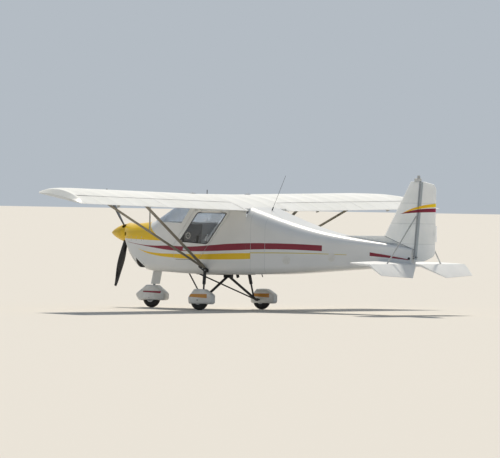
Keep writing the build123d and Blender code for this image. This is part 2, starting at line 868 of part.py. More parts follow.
floor_front = wing_floor_point(lower_front, root_y, seat_gap)
floor_way = wing_floor_point(1, root_y, seat_gap) - floor_front
with BuildPart() as above_floor:
    with BuildSketch(Plane(origin=floor_front, x_dir=floor_way, z_dir=spanwise.cross(floor_way))):
        Rectangle(4 * wing_chord, 4 * strut_y)
    extrude(amount=wing_chord)
wing_room = above_floor.part

front_grown = lift_strut(front_strut_foot, front_spar, seat_gap)
rear_grown_strut = lift_strut(rear_strut_foot, rear_spar, seat_gap)
front_strut = biggest(trimmed(lift_strut(front_strut_foot, front_spar, 0, wing_floor_cut), wing_room))
write_pair(front_strut, "front_strut")
rear_bar = lift_strut(rear_strut_foot, rear_spar, 0, wing_floor_cut)
write_pair(biggest(trimmed(rear_bar, wing_room, front_grown)), "rear_strut")

strut_head = wing_floor_point(front_spar, strut_y, seat_gap)
jury_foot = Vector(*front_strut_foot) + (strut_head - Vector(*front_strut_foot)) * jury_share
jury_top_z = underside_z(jury_foot.X) + (jury_foot.Y - root_y) * tan(radians(wing_dihedral)) + wing_floor_cut
jury_bar = rod(jury_foot, (jury_foot.X, jury_foot.Y, jury_top_z), jury_radius)
write_both(biggest(trimmed(jury_bar, wing_room, front_grown)), "jury_struts")

# Fittings at the cabin's foot that hold the lift struts' feet
fitting_size = (170, 76, 60)
fitting_centre = (862, 558, 646)
fitting_slope = 32
fitting_corner = 16


def fitting_block(grow=0):
    """The sloping block that both lift struts and the shock strut stand on."""
    length, width, height = fitting_size
    with BuildPart() as block:
        with Locations(Location(fitting_centre, (0, -fitting_slope, 0))):
            Box(length + 2 * grow, width + 2 * grow, height + 2 * grow)
        fillet(block.edges().filter_by(Axis.Y), fitting_corner)
    return block.part


grown_cabin = hull(cabin_rows, wall=-seat_gap, ruled=True)
strut_fitting = trimmed(fitting_block(), grown_cabin, front_grown, rear_grown_strut)
write_both(biggest(strut_fitting), "strut_fittings")

# Braces from the fin down to the tailplane
brace_radius = 11
brace_head = (-2738, 30, 1508)
brace_foot = (-2690, 735, 770)
with BuildPart() as port_fin_brace:
    add(rod(brace_head, brace_foot, brace_radius))
    add(fin.part, mode=Mode.SUBTRACT)
    add(stab_solid(grow=seat_gap), mode=Mode.SUBTRACT)
write_both(biggest(port_fin_brace.part), "fin_braces")

# Main gear: a bracket under the belly, a hinged A-frame to each axle, and a shock strut above it
bracket_size = (130, 80, 60)
bracket_x = 800
belly_z = 552
with BuildPart() as gear_bracket:
    with Locations((bracket_x, 0, belly_z - bracket_size[2] / 2 + 5)):
        Box(*bracket_size)
    fillet(gear_bracket.edges().filter_by(Axis.X), 10)
    add(grown_cabin, mode=Mode.SUBTRACT)
write(gear_bracket.part, "gear_bracket")

axle_z = tyre_radius
knee = (main_axle_x + 35, 690, axle_z + 6)
leg_radius = 20
brace_tube_radius = 11
drag_top = (1505, 90, 570)
leg_inner = (bracket_x, 0, 528)
collar_radius = 17
spat_clearance = 8
spat_wall = 3
spat_inner_half = tyre_width / 2 + spat_clearance
axle_end_y = track_half + spat_inner_half + spat_wall + 2
with BuildPart() as port_gear_leg:
    add(rod(leg_inner, knee, leg_radius))
    add(rod(drag_top, (knee[0] + 10, knee[1] - 20, knee[2] + 5), brace_tube_radius))
    with BuildSketch(Plane(origin=(main_axle_x, knee[1] - 24, axle_z), x_dir=(-1, 0, 0), z_dir=(0, 1, 0))):
        Circle(collar_radius + 6)
    extrude(amount=40)
    with BuildSketch(Plane(origin=(main_axle_x, knee[1], axle_z), x_dir=(-1, 0, 0), z_dir=(0, 1, 0))):
        Circle(axle_radius)
    extrude(amount=axle_end_y - knee[1])
    with Locations((bracket_x, 0, 528)):
        Box(bracket_size[0] + 40, bracket_size[1] + 2 * seat_gap, 200, mode=Mode.SUBTRACT)
    add(grown_cabin, mode=Mode.SUBTRACT)
gear_leg = biggest(port_gear_leg.part)
write_pair(gear_leg, "gear_leg")

shock_top = (832, 572, 620)
shock_foot = (790, 668, 180)
shock_radius = 14
gaiter_radius = 26
gaiter_share = (0.06, 0.50)
with BuildPart() as port_shock_strut:
    add(rod(shock_top, shock_foot, shock_radius))
    top, foot = Vector(*shock_top), Vector(*shock_foot)
    add(rod(tuple(top + (foot - top) * gaiter_share[0]), tuple(top + (foot - top) * gaiter_share[1]), gaiter_radius))
    add(grown_cabin, mode=Mode.SUBTRACT)
    add(fitting_block(seat_gap), mode=Mode.SUBTRACT)
    add(rod(leg_inner, knee, leg_radius + seat_gap), mode=Mode.SUBTRACT)
    add(rod(drag_top, (knee[0] + 10, knee[1] - 20, knee[2] + 5), brace_tube_radius + 3), mode=Mode.SUBTRACT)
write_pair(biggest(port_shock_strut.part), "shock_strut")

# Wheels: a rim with its hub, and the tyre round it
rim_half = 46
flange_radius = 76
flange_width = 5
hub_half = 50
hub_radius_outer = 22
bead_gap = 0.3
rim_side = (  # radius and distance from the wheel's middle plane, round the rim's section
    (axle_radius + fit_gap, -hub_half),
    (hub_radius_outer, -hub_half),
    (hub_radius_outer, -12),
    (rim_radius - 10, -8),
    (rim_radius - 10, -rim_half),
    (flange_radius - 4, -rim_half),
    (flange_radius - 4, -rim_half + flange_width),
    (rim_radius, -rim_half + flange_width + 8),
)
rim_outline = rim_side + tuple((radius, -side) for radius, side in reversed(rim_side))


def wheel_pieces(x, y):
    """The rim and the tyre on an axle at a place."""
    plane = Plane(origin=(x, y, axle_z), x_dir=(0, 0, 1), z_dir=(1, 0, 0))
    axis = Axis((x, y, axle_z), (0, 1, 0))
    with BuildPart() as rim:
        with BuildSketch(plane):
            with BuildLine():
                Polyline(*rim_outline, close=True)
            make_face()
        revolve(axis=axis)
    with BuildPart() as tyre:
        with BuildSketch(plane):
            with Locations(((rim_radius + bead_gap + tyre_radius) / 2, 0)):
                RectangleRounded(tyre_radius - rim_radius - bead_gap, tyre_width, 44)
        revolve(axis=axis)
    return rim.part, tyre.part


main_rim, main_tyre = wheel_pieces(main_axle_x, track_half)
write_pair(main_rim, "wheel")
write_pair(main_tyre, "tyre")
nose_rim, nose_tyre = wheel_pieces(nose_axle_x, 0)
write(nose_rim, "nose_wheel")
write(nose_tyre, "nose_tyre")

# Spats, hollow fairings over the wheels that are open below
main_spat_outline = ((182, -66), (190, 44), (76, 172), (-120, 168), (-272, 84), (-272, -60))  # from the axle
nose_spat_outline = ((215, -48), (290, 50), (70, 200), (-120, 196), (-300, 70), (-300, -40))
spat_corner = 44
spat_round = 34


def spat(x, y, outline, half_width):
    """A spat round an axle, its skin following the outline, open at the bottom."""
    low = min(z for _, z in outline)
    with BuildPart() as skin:
        for inset in (0, spat_wall):
            shape = [(x + dx, axle_z + dz) for dx, dz in outline]
            prism = side_prism(shape, y + half_width - inset, y - half_width + inset, spat_corner, inset)
            with BuildPart(mode=Mode.PRIVATE) as round_prism:
                add(prism)
                rims = round_prism.faces().filter_by(Axis.Y).edges()
                fillet(rims, spat_round - inset)
            add(round_prism.part, mode=Mode.SUBTRACT if inset else Mode.ADD)
        with BuildSketch(Plane.XY.offset(axle_z + low - 1)):
            with Locations((x, y)):
                Rectangle(2 * tyre_radius + 14, 2 * half_width - 2 * spat_wall - 2 * spat_clearance)
        extrude(amount=40, mode=Mode.SUBTRACT)
        with BuildSketch(Plane(origin=(x, y - half_width - 1, axle_z), x_dir=(-1, 0, 0), z_dir=(0, 1, 0))):
            Circle(axle_radius + fit_gap)
        extrude(amount=2 * half_width + 2, mode=Mode.SUBTRACT)
    return skin.part


main_spat = spat(main_axle_x, track_half, main_spat_outline, spat_inner_half + spat_wall)
write_pair(main_spat, "spat")

# Nose gear: a raked tube in a bearing on the firewall, its fork, a fairing and a spat
fork_blade = 7
fork_inner = hub_half + 2
nose_spat_half = 74
rake_way = Vector(nose_axle_x - nose_leg_top[0], 0, tyre_radius - nose_leg_top[1]).normalized()
leg_tube_radius = 20
crown_z = tyre_radius * 2 + 5.5
crown_height = 12


def rake_point(z):
    """The point of the steering axis at a height."""
    top = Vector(nose_leg_top[0], 0, nose_leg_top[1])
    return tuple(top + rake_way * ((z - top.Z) / rake_way.Z))


with BuildPart() as nose_leg:
    add(rod(rake_point(800), rake_point(crown_z + 8), leg_tube_radius))
    with Locations((rake_point(crown_z)[0], 0, crown_z + crown_height / 2)):
        Box(56, 2 * (fork_inner + 6 + fork_blade), crown_height)
    for side in (-1, 1):
        outer_y = side * (fork_inner + 6 + fork_blade / 2) + fork_blade / 2
        with BuildSketch(Plane(origin=(0, outer_y, 0), x_dir=(1, 0, 0), z_dir=(0, -1, 0))):
            with Locations((rake_point(crown_z)[0], crown_z)):
                Circle(crown_height)
            with Locations((nose_axle_x, axle_z)):
                Circle(18)
            make_hull()
        extrude(amount=fork_blade)
    with BuildSketch(Plane(origin=(nose_axle_x, -nose_spat_half - 2, axle_z), x_dir=(-1, 0, 0), z_dir=(0, 1, 0))):
        Circle(axle_radius)
    extrude(amount=2 * nose_spat_half + 4)
write(nose_leg.part, "nose_leg")

with BuildPart() as nose_spat:
    add(spat(nose_axle_x, 0, nose_spat_outline, nose_spat_half))
    add(rod(rake_point(300), rake_point(450), leg_tube_radius + seat_gap), mode=Mode.SUBTRACT)
write(nose_spat.part, "nose_spat")

fairing_top_z = 585
fairing_low_z = 372
fairing_chord = 205
fairing_thickness = 64
with BuildPart() as nose_fairing:
    for level in (fairing_low_z, fairing_top_z):
        with BuildSketch(Plane.XY.offset(level)):
            centre = rake_point(level)[0]
            with Locations((centre + fairing_chord / 2 - 42 - fairing_thickness / 2, 0)):
                Circle(fairing_thickness / 2)
            with Locations((centre - fairing_chord / 2, 0)):
                Circle(5)
            make_hull()
    loft(ruled=True)
    add(rod(rake_point(300), rake_point(700), leg_tube_radius + seat_gap), mode=Mode.SUBTRACT)
write(nose_fairing.part, "nose_fairing")

bearing_radius = 30
bearing_foot_z = 650
with BuildPart() as nose_bearing:
    add(rod(rake_point(bearing_foot_z), rake_point(790), bearing_radius))
    for z in (bearing_foot_z + 25, 765):
        with Locations(((firewall_x + rake_point(z)[0]) / 2, 0, z)):
            Box(rake_point(z)[0] - firewall_x + 2, 90, 14)
    add(rod(rake_point(600), rake_point(830), leg_tube_radius + fit_gap), mode=Mode.SUBTRACT)
    with Locations((firewall_x - 2 + seat_gap - 50, 0, 700)):
        Box(100, 300, 400, mode=Mode.SUBTRACT)
write(nose_bearing.part, "nose_bearing")

# Cabin fittings, each trimmed to the inside of the shell
cabin_room = hull(cabin_rows, wall=hull_wall + seat_gap, ruled=True)
tunnel_half = 95
tunnel_top = 800
tunnel_ends = (420, 2100)
with BuildPart() as boom_tunnel:
    with BuildSketch(Plane(origin=(tunnel_ends[0], 0, 0), x_dir=(0, 1, 0), z_dir=(1, 0, 0))):
        with Locations((0, tunnel_top - 150)):
            RectangleRounded(2 * tunnel_half, 300, 40)
    extrude(amount=tunnel_ends[1] - tunnel_ends[0])
    add(cabin_room, mode=Mode.INTERSECT)
write(boom_tunnel.part, "boom_tunnel")

seat_y = 290
seat_width = 370
seat_profile = (
    (1130, 545),
    (1150, 770),
    (1120, 812),
    (660, 752),
    (480, 1270),
    (430, 1285),
    (396, 1262),
    (560, 700),
    (560, 545),
)
with BuildPart() as port_seat:
    add(side_prism(seat_profile, seat_y + seat_width / 2, seat_y - seat_width / 2, 18))
    add(cabin_room, mode=Mode.INTERSECT)
write_both(port_seat.part, "seats")

panel_profile = ((1700, 985), (1676, 1320), (1770, 1322), (1790, 1200), (1742, 985))
with BuildPart() as instrument_panel:
    add(side_prism(panel_profile, 700, -700, 8))
    add(cabin_room, mode=Mode.INTERSECT)
write(instrument_panel.part, "instrument_panel")

stick_foot_x = 1260
stick_radius = 11
with BuildPart() as control_stick:
    add(rod((stick_foot_x, 0, tunnel_top + 5), (stick_foot_x - 20, 0, 1040), stick_radius))
    add(rod((stick_foot_x - 20, 0, 1035), (stick_foot_x - 30, 0, 1150), 17))
    with Locations((stick_foot_x, 0, tunnel_top + seat_gap + 10)):
        Cylinder(30, 20)
write(control_stick.part, "control_stick")

pedal_bar_x = 1905
pedal_bar_z = 835
pedal_rows = ((330, 0), (190, 0), (-190, 0), (-330, 0))  # y and lean
with BuildPart() as rudder_pedals:
    add(rod((pedal_bar_x, -500, pedal_bar_z), (pedal_bar_x, 500, pedal_bar_z), 11))
    for y, lean in pedal_rows:
        with Locations((pedal_bar_x + lean, y, pedal_bar_z - 75)):
            Box(14, 70, 130)
    add(cabin_room, mode=Mode.INTERSECT)
write(rudder_pedals.part, "rudder_pedals")

roof_tube_radius = 19
roof_tube_x = 1270
pylon_top_y = 330
rear_post_x = 330
rear_post_y = 380
with BuildPart() as cabin_frame:
    roof_z = underside_z(roof_tube_x) - hull_wall - roof_tube_radius - 4
    add(rod((roof_tube_x, -600, roof_z), (roof_tube_x, 600, roof_z), roof_tube_radius))
    rear_z = underside_z(rear_post_x) - hull_wall - roof_tube_radius - 4
    add(rod((rear_post_x, -600, rear_z), (rear_post_x, 600, rear_z), roof_tube_radius))
    for side in (-1, 1):
        add(rod((rear_post_x, side * rear_post_y, 500), (rear_post_x, side * rear_post_y, rear_z), roof_tube_radius))
        add(rod((rear_post_x, side * pylon_top_y, rear_z), (roof_tube_x, side * pylon_top_y, roof_z), 14))
    add(cabin_room, mode=Mode.INTERSECT)
write(cabin_frame.part, "cabin_frame")

# Aerials on the wing's centre section and the beacon on the fin
post_x = 1300
whip_foot = (-20, 0, 1560)
whip_top = (-268, 0, 2098)
with BuildPart() as aerials:
    post_foot_z = wing_le_z + 20
    add(rod((post_x - 60, 0, post_foot_z), (post_x - 62, 0, wing_le_z + 145), 6))
    add(rod(whip_foot, whip_top, 2.5))
    add(rod(whip_foot, tuple(Vector(*whip_foot) + (Vector(*whip_top) - Vector(*whip_foot)) * 0.09), 9))
    add(centre_section.part, mode=Mode.SUBTRACT)
    add(rear_grown, mode=Mode.SUBTRACT)
write(aerials.part, "aerials")

beacon_x = -2782
beacon_radius = 30
with BuildPart() as beacon:
    with Locations((beacon_x + 30, 0, fin_top_z + seat_gap + 22)):
        Cylinder(24, 44)
    with Locations((beacon_x + 30, 0, fin_top_z + seat_gap + 44)):
        Cylinder(beacon_radius, 10, align=(Align.CENTER, Align.CENTER, Align.MIN))
        Cylinder(22, 46, align=(Align.CENTER, Align.CENTER, Align.MIN))
write(beacon.part, "beacon")

# Tie-down rings under the lift struts' heads
ring_bore = 12
ring_radius = 20
ring_thickness = 8
ring_aft_share = 0.11
ring_y = strut_y + 90  # outboard of the strut's head, so that a hook's pin goes in from the front
with BuildPart() as port_tie_down:
    ring_top = wing_floor_point(ring_aft_share, ring_y, seat_gap)
    ring_centre = ring_top - Vector(0, 0, ring_radius + 14)
    with BuildSketch(Plane(origin=ring_centre + Vector(ring_thickness / 2, 0, 0), x_dir=(0, 1, 0), z_dir=(-1, 0, 0))):
        Circle(ring_radius)
        with Locations((0, -ring_radius)):
            Rectangle(16, 2 * ring_radius)
        Circle(ring_bore, mode=Mode.SUBTRACT)
    extrude(amount=ring_thickness)
    add(wing_room, mode=Mode.SUBTRACT)
write_both(port_tie_down.part, "tie_downs")
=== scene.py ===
# Two-seat high-wing ultralight: finishes, cabin trim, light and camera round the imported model
import math

import bmesh
import bpy
from mathutils import Matrix, Vector
from mathutils.bvhtree import BVHTree


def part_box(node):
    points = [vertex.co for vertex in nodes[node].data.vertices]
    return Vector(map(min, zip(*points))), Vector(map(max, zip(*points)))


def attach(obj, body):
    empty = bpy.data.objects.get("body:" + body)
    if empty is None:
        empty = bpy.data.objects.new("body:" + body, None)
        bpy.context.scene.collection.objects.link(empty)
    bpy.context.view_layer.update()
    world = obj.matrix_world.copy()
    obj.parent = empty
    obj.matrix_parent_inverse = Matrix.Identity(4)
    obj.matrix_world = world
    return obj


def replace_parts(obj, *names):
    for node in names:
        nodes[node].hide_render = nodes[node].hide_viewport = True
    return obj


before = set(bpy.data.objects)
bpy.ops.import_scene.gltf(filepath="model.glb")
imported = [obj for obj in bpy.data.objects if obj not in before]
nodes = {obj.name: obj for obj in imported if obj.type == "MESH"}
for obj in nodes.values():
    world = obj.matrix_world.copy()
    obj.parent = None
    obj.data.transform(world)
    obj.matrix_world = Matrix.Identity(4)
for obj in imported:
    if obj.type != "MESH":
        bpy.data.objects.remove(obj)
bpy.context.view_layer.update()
sides = (("port", 1), ("starboard", -1))
print("model loaded:", len(nodes), "nodes")


def linear(hexValue):  # an sRGB hex value as a linear colour
    parts = [int(hexValue[i:i + 2], 16) / 255 for i in (0, 2, 4)]
    return [c / 12.92 if c <= 0.04045 else ((c + 0.055) / 1.055) ** 2.4 for c in parts] + [1.0]


def addNode(tree, kind, inputs=None, **settings):  # a node with its settings, values and links
    node = tree.nodes.new(kind)
    for name, value in settings.items():
        setattr(node, name, value)
    for socket, value in (inputs or {}).items():
        if isinstance(value, bpy.types.NodeSocket):
            tree.links.new(value, node.inputs[socket])
        else:
            node.inputs[socket].default_value = value
    return node


def maths(tree, operation, *values):  # the result of one step of arithmetic
    return addNode(tree, "ShaderNodeMath", dict(enumerate(values)), operation=operation).outputs[0]


def noise(tree, place, scale, detail):  # a soft pattern fixed to the object
    inputs = {"Vector": place.outputs["Object"], "Scale": scale, "Detail": detail}
    return addNode(tree, "ShaderNodeTexNoise", inputs).outputs["Fac"]


def startMaterial(name, **values):  # a material with its shader and object coordinates
    material = bpy.data.materials.new(name)
    material.use_nodes = True
    tree = material.node_tree
    tree.nodes.clear()
    named = {key.replace("_", " ").title().replace("Ior", "IOR"): value for key, value in values.items()}
    shader = addNode(tree, "ShaderNodeBsdfPrincipled", named)
    addNode(tree, "ShaderNodeOutputMaterial", {"Surface": shader.outputs["BSDF"]})
    place = addNode(tree, "ShaderNodeTexCoord")
    return material, tree, shader, place


def layOver(tree, base, mask, hexValue):  # a flat colour laid over another by a mask
    return addNode(tree, "ShaderNodeMix", {0: mask, 6: base, 7: linear(hexValue)}, data_type="RGBA").outputs[2]


def tint(tree, place, first, second, scale):  # a colour that wanders between two
    inputs = {"Value": noise(tree, place, scale, 3.0), "From Min": 0.35, "From Max": 0.65}
    spread = addNode(tree, "ShaderNodeMapRange", inputs)
    return layOver(tree, linear(first), spread.outputs["Result"], second)


def bumpFrom(tree, height, strength, depth):  # a bump of a real depth in metres
    bump = addNode(tree, "ShaderNodeBump", {"Height": height, "Strength": strength, "Distance": depth})
    return bump.outputs["Normal"]


# Paint scheme: outlines of the stripes in the side view, as (x, z) in metres
paint = {
    "white": "E6E7E6", "whiteWorn": "DDDFDE", "red": "86062B", "yellow": "EDC400", "pin": "CDBB30",
    "redBand": (
        [(2.545, 1.029), (2.05, 0.982), (1.56, 0.983), (1.15, 0.977),
         (0.757, 1.004), (0.39, 1.034), (-0.32, 1.054), (-1.2, 1.036)],
        [(2.545, 1.024), (2.05, 0.963), (1.56, 0.913), (1.15, 0.904),
         (0.757, 0.914), (0.39, 0.931), (-0.32, 0.961), (-1.2, 0.948)],
    ),
    "redTail": (
        [(-1.98, 0.947), (-2.32, 0.902), (-2.62, 0.853)],
        [(-1.98, 0.891), (-2.32, 0.866), (-2.62, 0.840)],
    ),
    "yellowBand": (
        [(2.26, 0.920), (1.95, 0.872), (1.45, 0.858), (0.95, 0.864), (0.39, 0.886), (-0.1, 0.900)],
        [(2.26, 0.916), (1.95, 0.840), (1.45, 0.796), (0.95, 0.784), (0.39, 0.792), (-0.1, 0.812)],
    ),
    "pinLine": (
        [(0.1, 0.905), (-0.83, 0.915), (-1.6, 0.904)],
        [(0.1, 0.891), (-0.83, 0.904), (-1.6, 0.896)],
    ),
    "redEnds": (-1.19, 2.56), "tailEnds": (-2.63, -1.985), "yellowEnds": (0.02, 2.28), "pinEnds": (-1.6, 0.03),
    "seams": (-0.23, 0.02), "seamHalf": 0.0022, "seamHex": "C3C7C8",
    "cowlLine": (2.756, 1.083, 0.0242),  # x, z and slope of the yellow cowl's lower edge
    "cowlRear": (1.35, 2.11, 1.2),  # z, x and slope of its swept rear edge
    "outward": 0.004,
}
curveLength, curveHeight = 6.4, 2.5  # what a stripe's curve covers, in metres


def curveOf(tree, share, points):  # a smooth height along the aircraft, from a few points
    node = addNode(tree, "ShaderNodeFloatCurve", {"Value": share})
    curve = node.mapping.curves[0]
    spots = sorted(((x + curveLength / 2) / curveLength, z / curveHeight) for x, z in points)
    curve.points[0].location = spots[0]
    curve.points[1].location = spots[-1]
    for spot in spots[1:-1]:
        curve.points.new(*spot)
    for point in curve.points:
        point.handle_type = "AUTO"
    node.mapping.update()
    return node.outputs["Value"]


def bandMask(tree, split, outline, ends):  # 1 inside a stripe of the side view, 0 outside it
    along = split.outputs["X"]
    reach = {"Value": along, "From Min": -curveLength / 2, "From Max": curveLength / 2}
    share = addNode(tree, "ShaderNodeMapRange", reach).outputs["Result"]
    level = maths(tree, "DIVIDE", split.outputs["Z"], curveHeight)
    under = maths(tree, "LESS_THAN", level, curveOf(tree, share, outline[0]))
    over = maths(tree, "GREATER_THAN", level, curveOf(tree, share, outline[1]))
    front = maths(tree, "LESS_THAN", along, ends[1])
    back = maths(tree, "GREATER_THAN", along, ends[0])
    return maths(tree, "MULTIPLY", maths(tree, "MULTIPLY", under, over), maths(tree, "MULTIPLY", front, back))


def splitPlace(tree, place):  # x, y and z of the place being shaded
    return addNode(tree, "ShaderNodeSeparateXYZ", {0: place.outputs["Object"]})


def outsideMask(tree, place, split):  # 1 where a side faces away from the centreline
    facing = addNode(tree, "ShaderNodeSeparateXYZ", {0: place.outputs["Normal"]})
    product = maths(tree, "MULTIPLY", facing.outputs["Y"], split.outputs["Y"])
    return maths(tree, "GREATER_THAN", product, paint["outward"])


def onLine(tree, value, start, level, slope):  # what a straight line through (start, level) gives at a value
    return maths(tree, "MULTIPLY_ADD", value, slope, level - start * slope)


def near(tree, value, middle, half):  # 1 within half of a middle value, else 0
    if isinstance(middle, bpy.types.NodeSocket):
        value, middle = maths(tree, "SUBTRACT", value, middle), 0.0
    return maths(tree, "COMPARE", value, middle, half)


def gelcoat():  # moulded glass fibre with polished gelcoat: a hard clear gloss over even colour
    material, tree, shader, place = startMaterial(
        "polishedGelcoat", roughness=0.30, coat_weight=0.12, coat_roughness=0.06
    )
    colour = tint(tree, place, paint["white"], paint["whiteWorn"], 1.6)
    split = splitPlace(tree, place)
    outside = outsideMask(tree, place, split)
    for outline, ends, hexValue in (
        ("pinLine", "pinEnds", paint["pin"]), ("yellowBand", "yellowEnds", paint["yellow"]),
        ("redBand", "redEnds", paint["red"]), ("redTail", "tailEnds", paint["red"]),
    ):
        mask = bandMask(tree, split, paint[outline], paint[ends])
        colour = layOver(tree, colour, maths(tree, "MULTIPLY", mask, outside), hexValue)
    for seamX in paint["seams"]:  # joints in the moulded skin, filled and sanded
        colour = layOver(tree, colour, near(tree, split.outputs["X"], seamX, paint["seamHalf"]), paint["seamHex"])
    edge = onLine(tree, split.outputs["X"], *paint["cowlLine"])
    above = maths(tree, "GREATER_THAN", split.outputs["Z"], edge)
    rear = onLine(tree, split.outputs["Z"], *paint["cowlRear"])
    ahead = maths(tree, "GREATER_THAN", split.outputs["X"], rear)
    colour = layOver(tree, colour, maths(tree, "MULTIPLY", above, ahead), paint["yellow"])
    tree.links.new(bumpFrom(tree, noise(tree, place, 7.0, 2.0), 0.35, 0.004), shader.inputs["Normal"])
    tree.links.new(colour, shader.inputs["Base Color"])
    return material


finPaint = {
    "yellowBand": (
        [(-2.48, 1.551), (-2.75, 1.650), (-3.08, 1.705)],
        [(-2.48, 1.549), (-2.75, 1.613), (-3.08, 1.650)],
    ),
    "redBand": (
        [(-2.44, 1.541), (-2.75, 1.608), (-3.08, 1.631)],
        [(-2.44, 1.539), (-2.75, 1.562), (-3.08, 1.573)],
    ),
    "ends": (-3.2, -2.44), "cream": "ECEEED", "creamWorn": "E2E5E5",
    "hinge": (0.995, -2.730, -0.0823),  # z, x and slope of the rudder's hinge line
    # the hinge strip: seal tape, darkened with painted shade of the gap between fin and rudder
    "hingeTapeAndShadeHex": "B2B8BC", "hingeTapeAndShadeHalf": 0.036, "bandFoot": 0.85,
    "filletLine": (-2.154, 1.197, 0.367),  # x, z and slope of the fillet's upper edge
    "filletEnd": -2.70, "filletHex": "D3D6D6", "jointHex": "8B9195", "jointHalf": 0.005,
    "ribSpacing": 0.31, "sag": 0.004, "tapeAndRibShadeHalf": 0.007, "tapeAndRibShadeShare": 0.22, "tapeAndRibShadeHex": "9CA3A6",
}
wingLook = {
    "cloth": "ECEDEA", "clothWorn": "E4E5E0",
    "ribSpacing": 0.40, "sag": 0.010, "tapeAndRibShadeHalf": 0.016, "tapeAndRibShadeShare": 0.16, "tapeAndRibShadeHex": "A9ABA6",
}
clothRadius = (1.0, 1.0, 0.95)  # how far light of each colour wanders in the cloth


def ribbed(tree, shader, colour, along, look):  # a faint tape over each rib, darkened with painted shade of the rib seen through the cloth, and cloth that curves between ribs
    spacing = look["ribSpacing"]
    fromRib = maths(tree, "SUBTRACT", maths(tree, "PINGPONG", along, spacing), spacing / 2)
    # the mark over each rib: part tape, part painted shade of the rib behind the cloth
    tapeAndRibShadeMask = maths(tree, "MULTIPLY", near(tree, fromRib, 0.0, look["tapeAndRibShadeHalf"]), look["tapeAndRibShadeShare"])
    wave = maths(tree, "COSINE", maths(tree, "MULTIPLY", along, math.pi / spacing))
    tree.links.new(bumpFrom(tree, maths(tree, "ABSOLUTE", wave), 1.0, look["sag"]), shader.inputs["Normal"])
    tree.links.new(layOver(tree, colour, tapeAndRibShadeMask, look["tapeAndRibShadeHex"]), shader.inputs["Base Color"])


def tailCloth():  # heat-shrunk polyester over tail ribs: thin cloth that lets light through, with two stripes
    material, tree, shader, place = startMaterial(
        "tailPolyester", roughness=0.42, sheen_weight=0.1, subsurface_weight=0.55, subsurface_scale=0.09
    )
    shader.inputs["Subsurface Radius"].default_value = clothRadius
    colour = tint(tree, place, finPaint["cream"], finPaint["creamWorn"], 3.0)
    split = splitPlace(tree, place)
    along, level = split.outputs["X"], split.outputs["Z"]
    # a grey strip down the rudder's hinge line: seal tape, darkened with painted shade of the gap between fin and
    # rudder
    high = maths(tree, "GREATER_THAN", level, finPaint["bandFoot"])
    onHingeTapeAndShade = near(tree, along, onLine(tree, level, *finPaint["hinge"]), finPaint["hingeTapeAndShadeHalf"])
    colour = layOver(tree, colour, maths(tree, "MULTIPLY", onHingeTapeAndShade, high), finPaint["hingeTapeAndShadeHex"])
    rim = onLine(tree, along, *finPaint["filletLine"])
    ahead = maths(tree, "MULTIPLY", maths(tree, "GREATER_THAN", along, finPaint["filletEnd"]), high)
    fillet = maths(tree, "MULTIPLY", maths(tree, "LESS_THAN", level, rim), ahead)
    colour = layOver(tree, colour, fillet, finPaint["filletHex"])
    joint = maths(tree, "MULTIPLY", near(tree, level, rim, finPaint["jointHalf"]), ahead)
    colour = layOver(tree, colour, joint, finPaint["jointHex"])
    for name, hexValue in (("yellowBand", paint["yellow"]), ("redBand", paint["red"])):
        colour = layOver(tree, colour, bandMask(tree, split, finPaint[name], finPaint["ends"]), hexValue)
    ribbed(tree, shader, colour, level, finPaint)
    return material


def wingCloth():  # heat-shrunk polyester over wing ribs: satin, with a tape over each rib's stitches, darkened with painted shade of the rib seen through the cloth
    material, tree, shader, place = startMaterial(
        "wingPolyester", roughness=0.38, sheen_weight=0.1, subsurface_weight=0.3, subsurface_scale=0.08
    )
    shader.inputs["Subsurface Radius"].default_value = clothRadius
    colour = tint(tree, place, wingLook["cloth"], wingLook["clothWorn"], 1.1)
    ribbed(tree, shader, colour, splitPlace(tree, place).outputs["Y"], wingLook)
    return material


def spatPaint(name, stripeHex, outline, ends):  # gelcoat with one short stripe on each flank
    material, tree, shader, place = startMaterial(name, roughness=0.26, coat_weight=0.3, coat_roughness=0.1)
    colour = tint(tree, place, "E4E5E4", "D3D3CE", 9.0)
    mask = bandMask(tree, splitPlace(tree, place), outline, ends)
    tree.links.new(layOver(tree, colour, mask, stripeHex), shader.inputs["Base Color"])
    return material


def plain(name, first, second, scale, bumpScale=60.0, depth=0.0004, **values):  # wandering colour with a fine grain
    material, tree, shader, place = startMaterial(name, **values)
    tree.links.new(bumpFrom(tree, noise(tree, place, bumpScale, 4.0), 0.6, depth), shader.inputs["Normal"])
    tree.links.new(tint(tree, place, first, second, scale), shader.inputs["Base Color"])
    return material


def glazing(name, hexValue, roughness, clear, alpha):  # polycarbonate sheet: a clear gloss with a haze of fine scuffs
    material, tree, shader, place = startMaterial(
        name, roughness=roughness, transmission_weight=clear, ior=1.49, alpha=alpha
    )
    inputs = {"Value": noise(tree, place, 12.0, 3.0), "To Min": roughness, "To Max": roughness + 0.05}
    spread = addNode(tree, "ShaderNodeMapRange", inputs)
    tree.links.new(spread.outputs["Result"], shader.inputs["Roughness"])
    shader.inputs["Base Color"].default_value = linear(hexValue)
    return material


tyreTread = {
    "grooves": (0.012, 0.030), "grooveHalf": 0.0016, "grooveDepth": 0.003,
    "rubber": "1A1A1B", "dust": "34322E", "middles": (("port", 0.82), ("starboard", -0.82), ("nose", 0.0)),
}


def treadRubber(name, middle):  # moulded tyre rubber: dull and dusty, with grooves round the tread
    material, tree, shader, place = startMaterial(name, roughness=0.8)
    across = splitPlace(tree, place).outputs["Y"]
    off = maths(tree, "ABSOLUTE", maths(tree, "SUBTRACT", across, middle))
    cuts = [near(tree, off, groove, tyreTread["grooveHalf"]) for groove in tyreTread["grooves"]]
    height = maths(tree, "SUBTRACT", 1.0, maths(tree, "MAXIMUM", *cuts))
    tree.links.new(bumpFrom(tree, height, 1.0, tyreTread["grooveDepth"]), shader.inputs["Normal"])
    colour = tint(tree, place, tyreTread["rubber"], tyreTread["dust"], 14.0)
    tree.links.new(colour, shader.inputs["Base Color"])
    return material


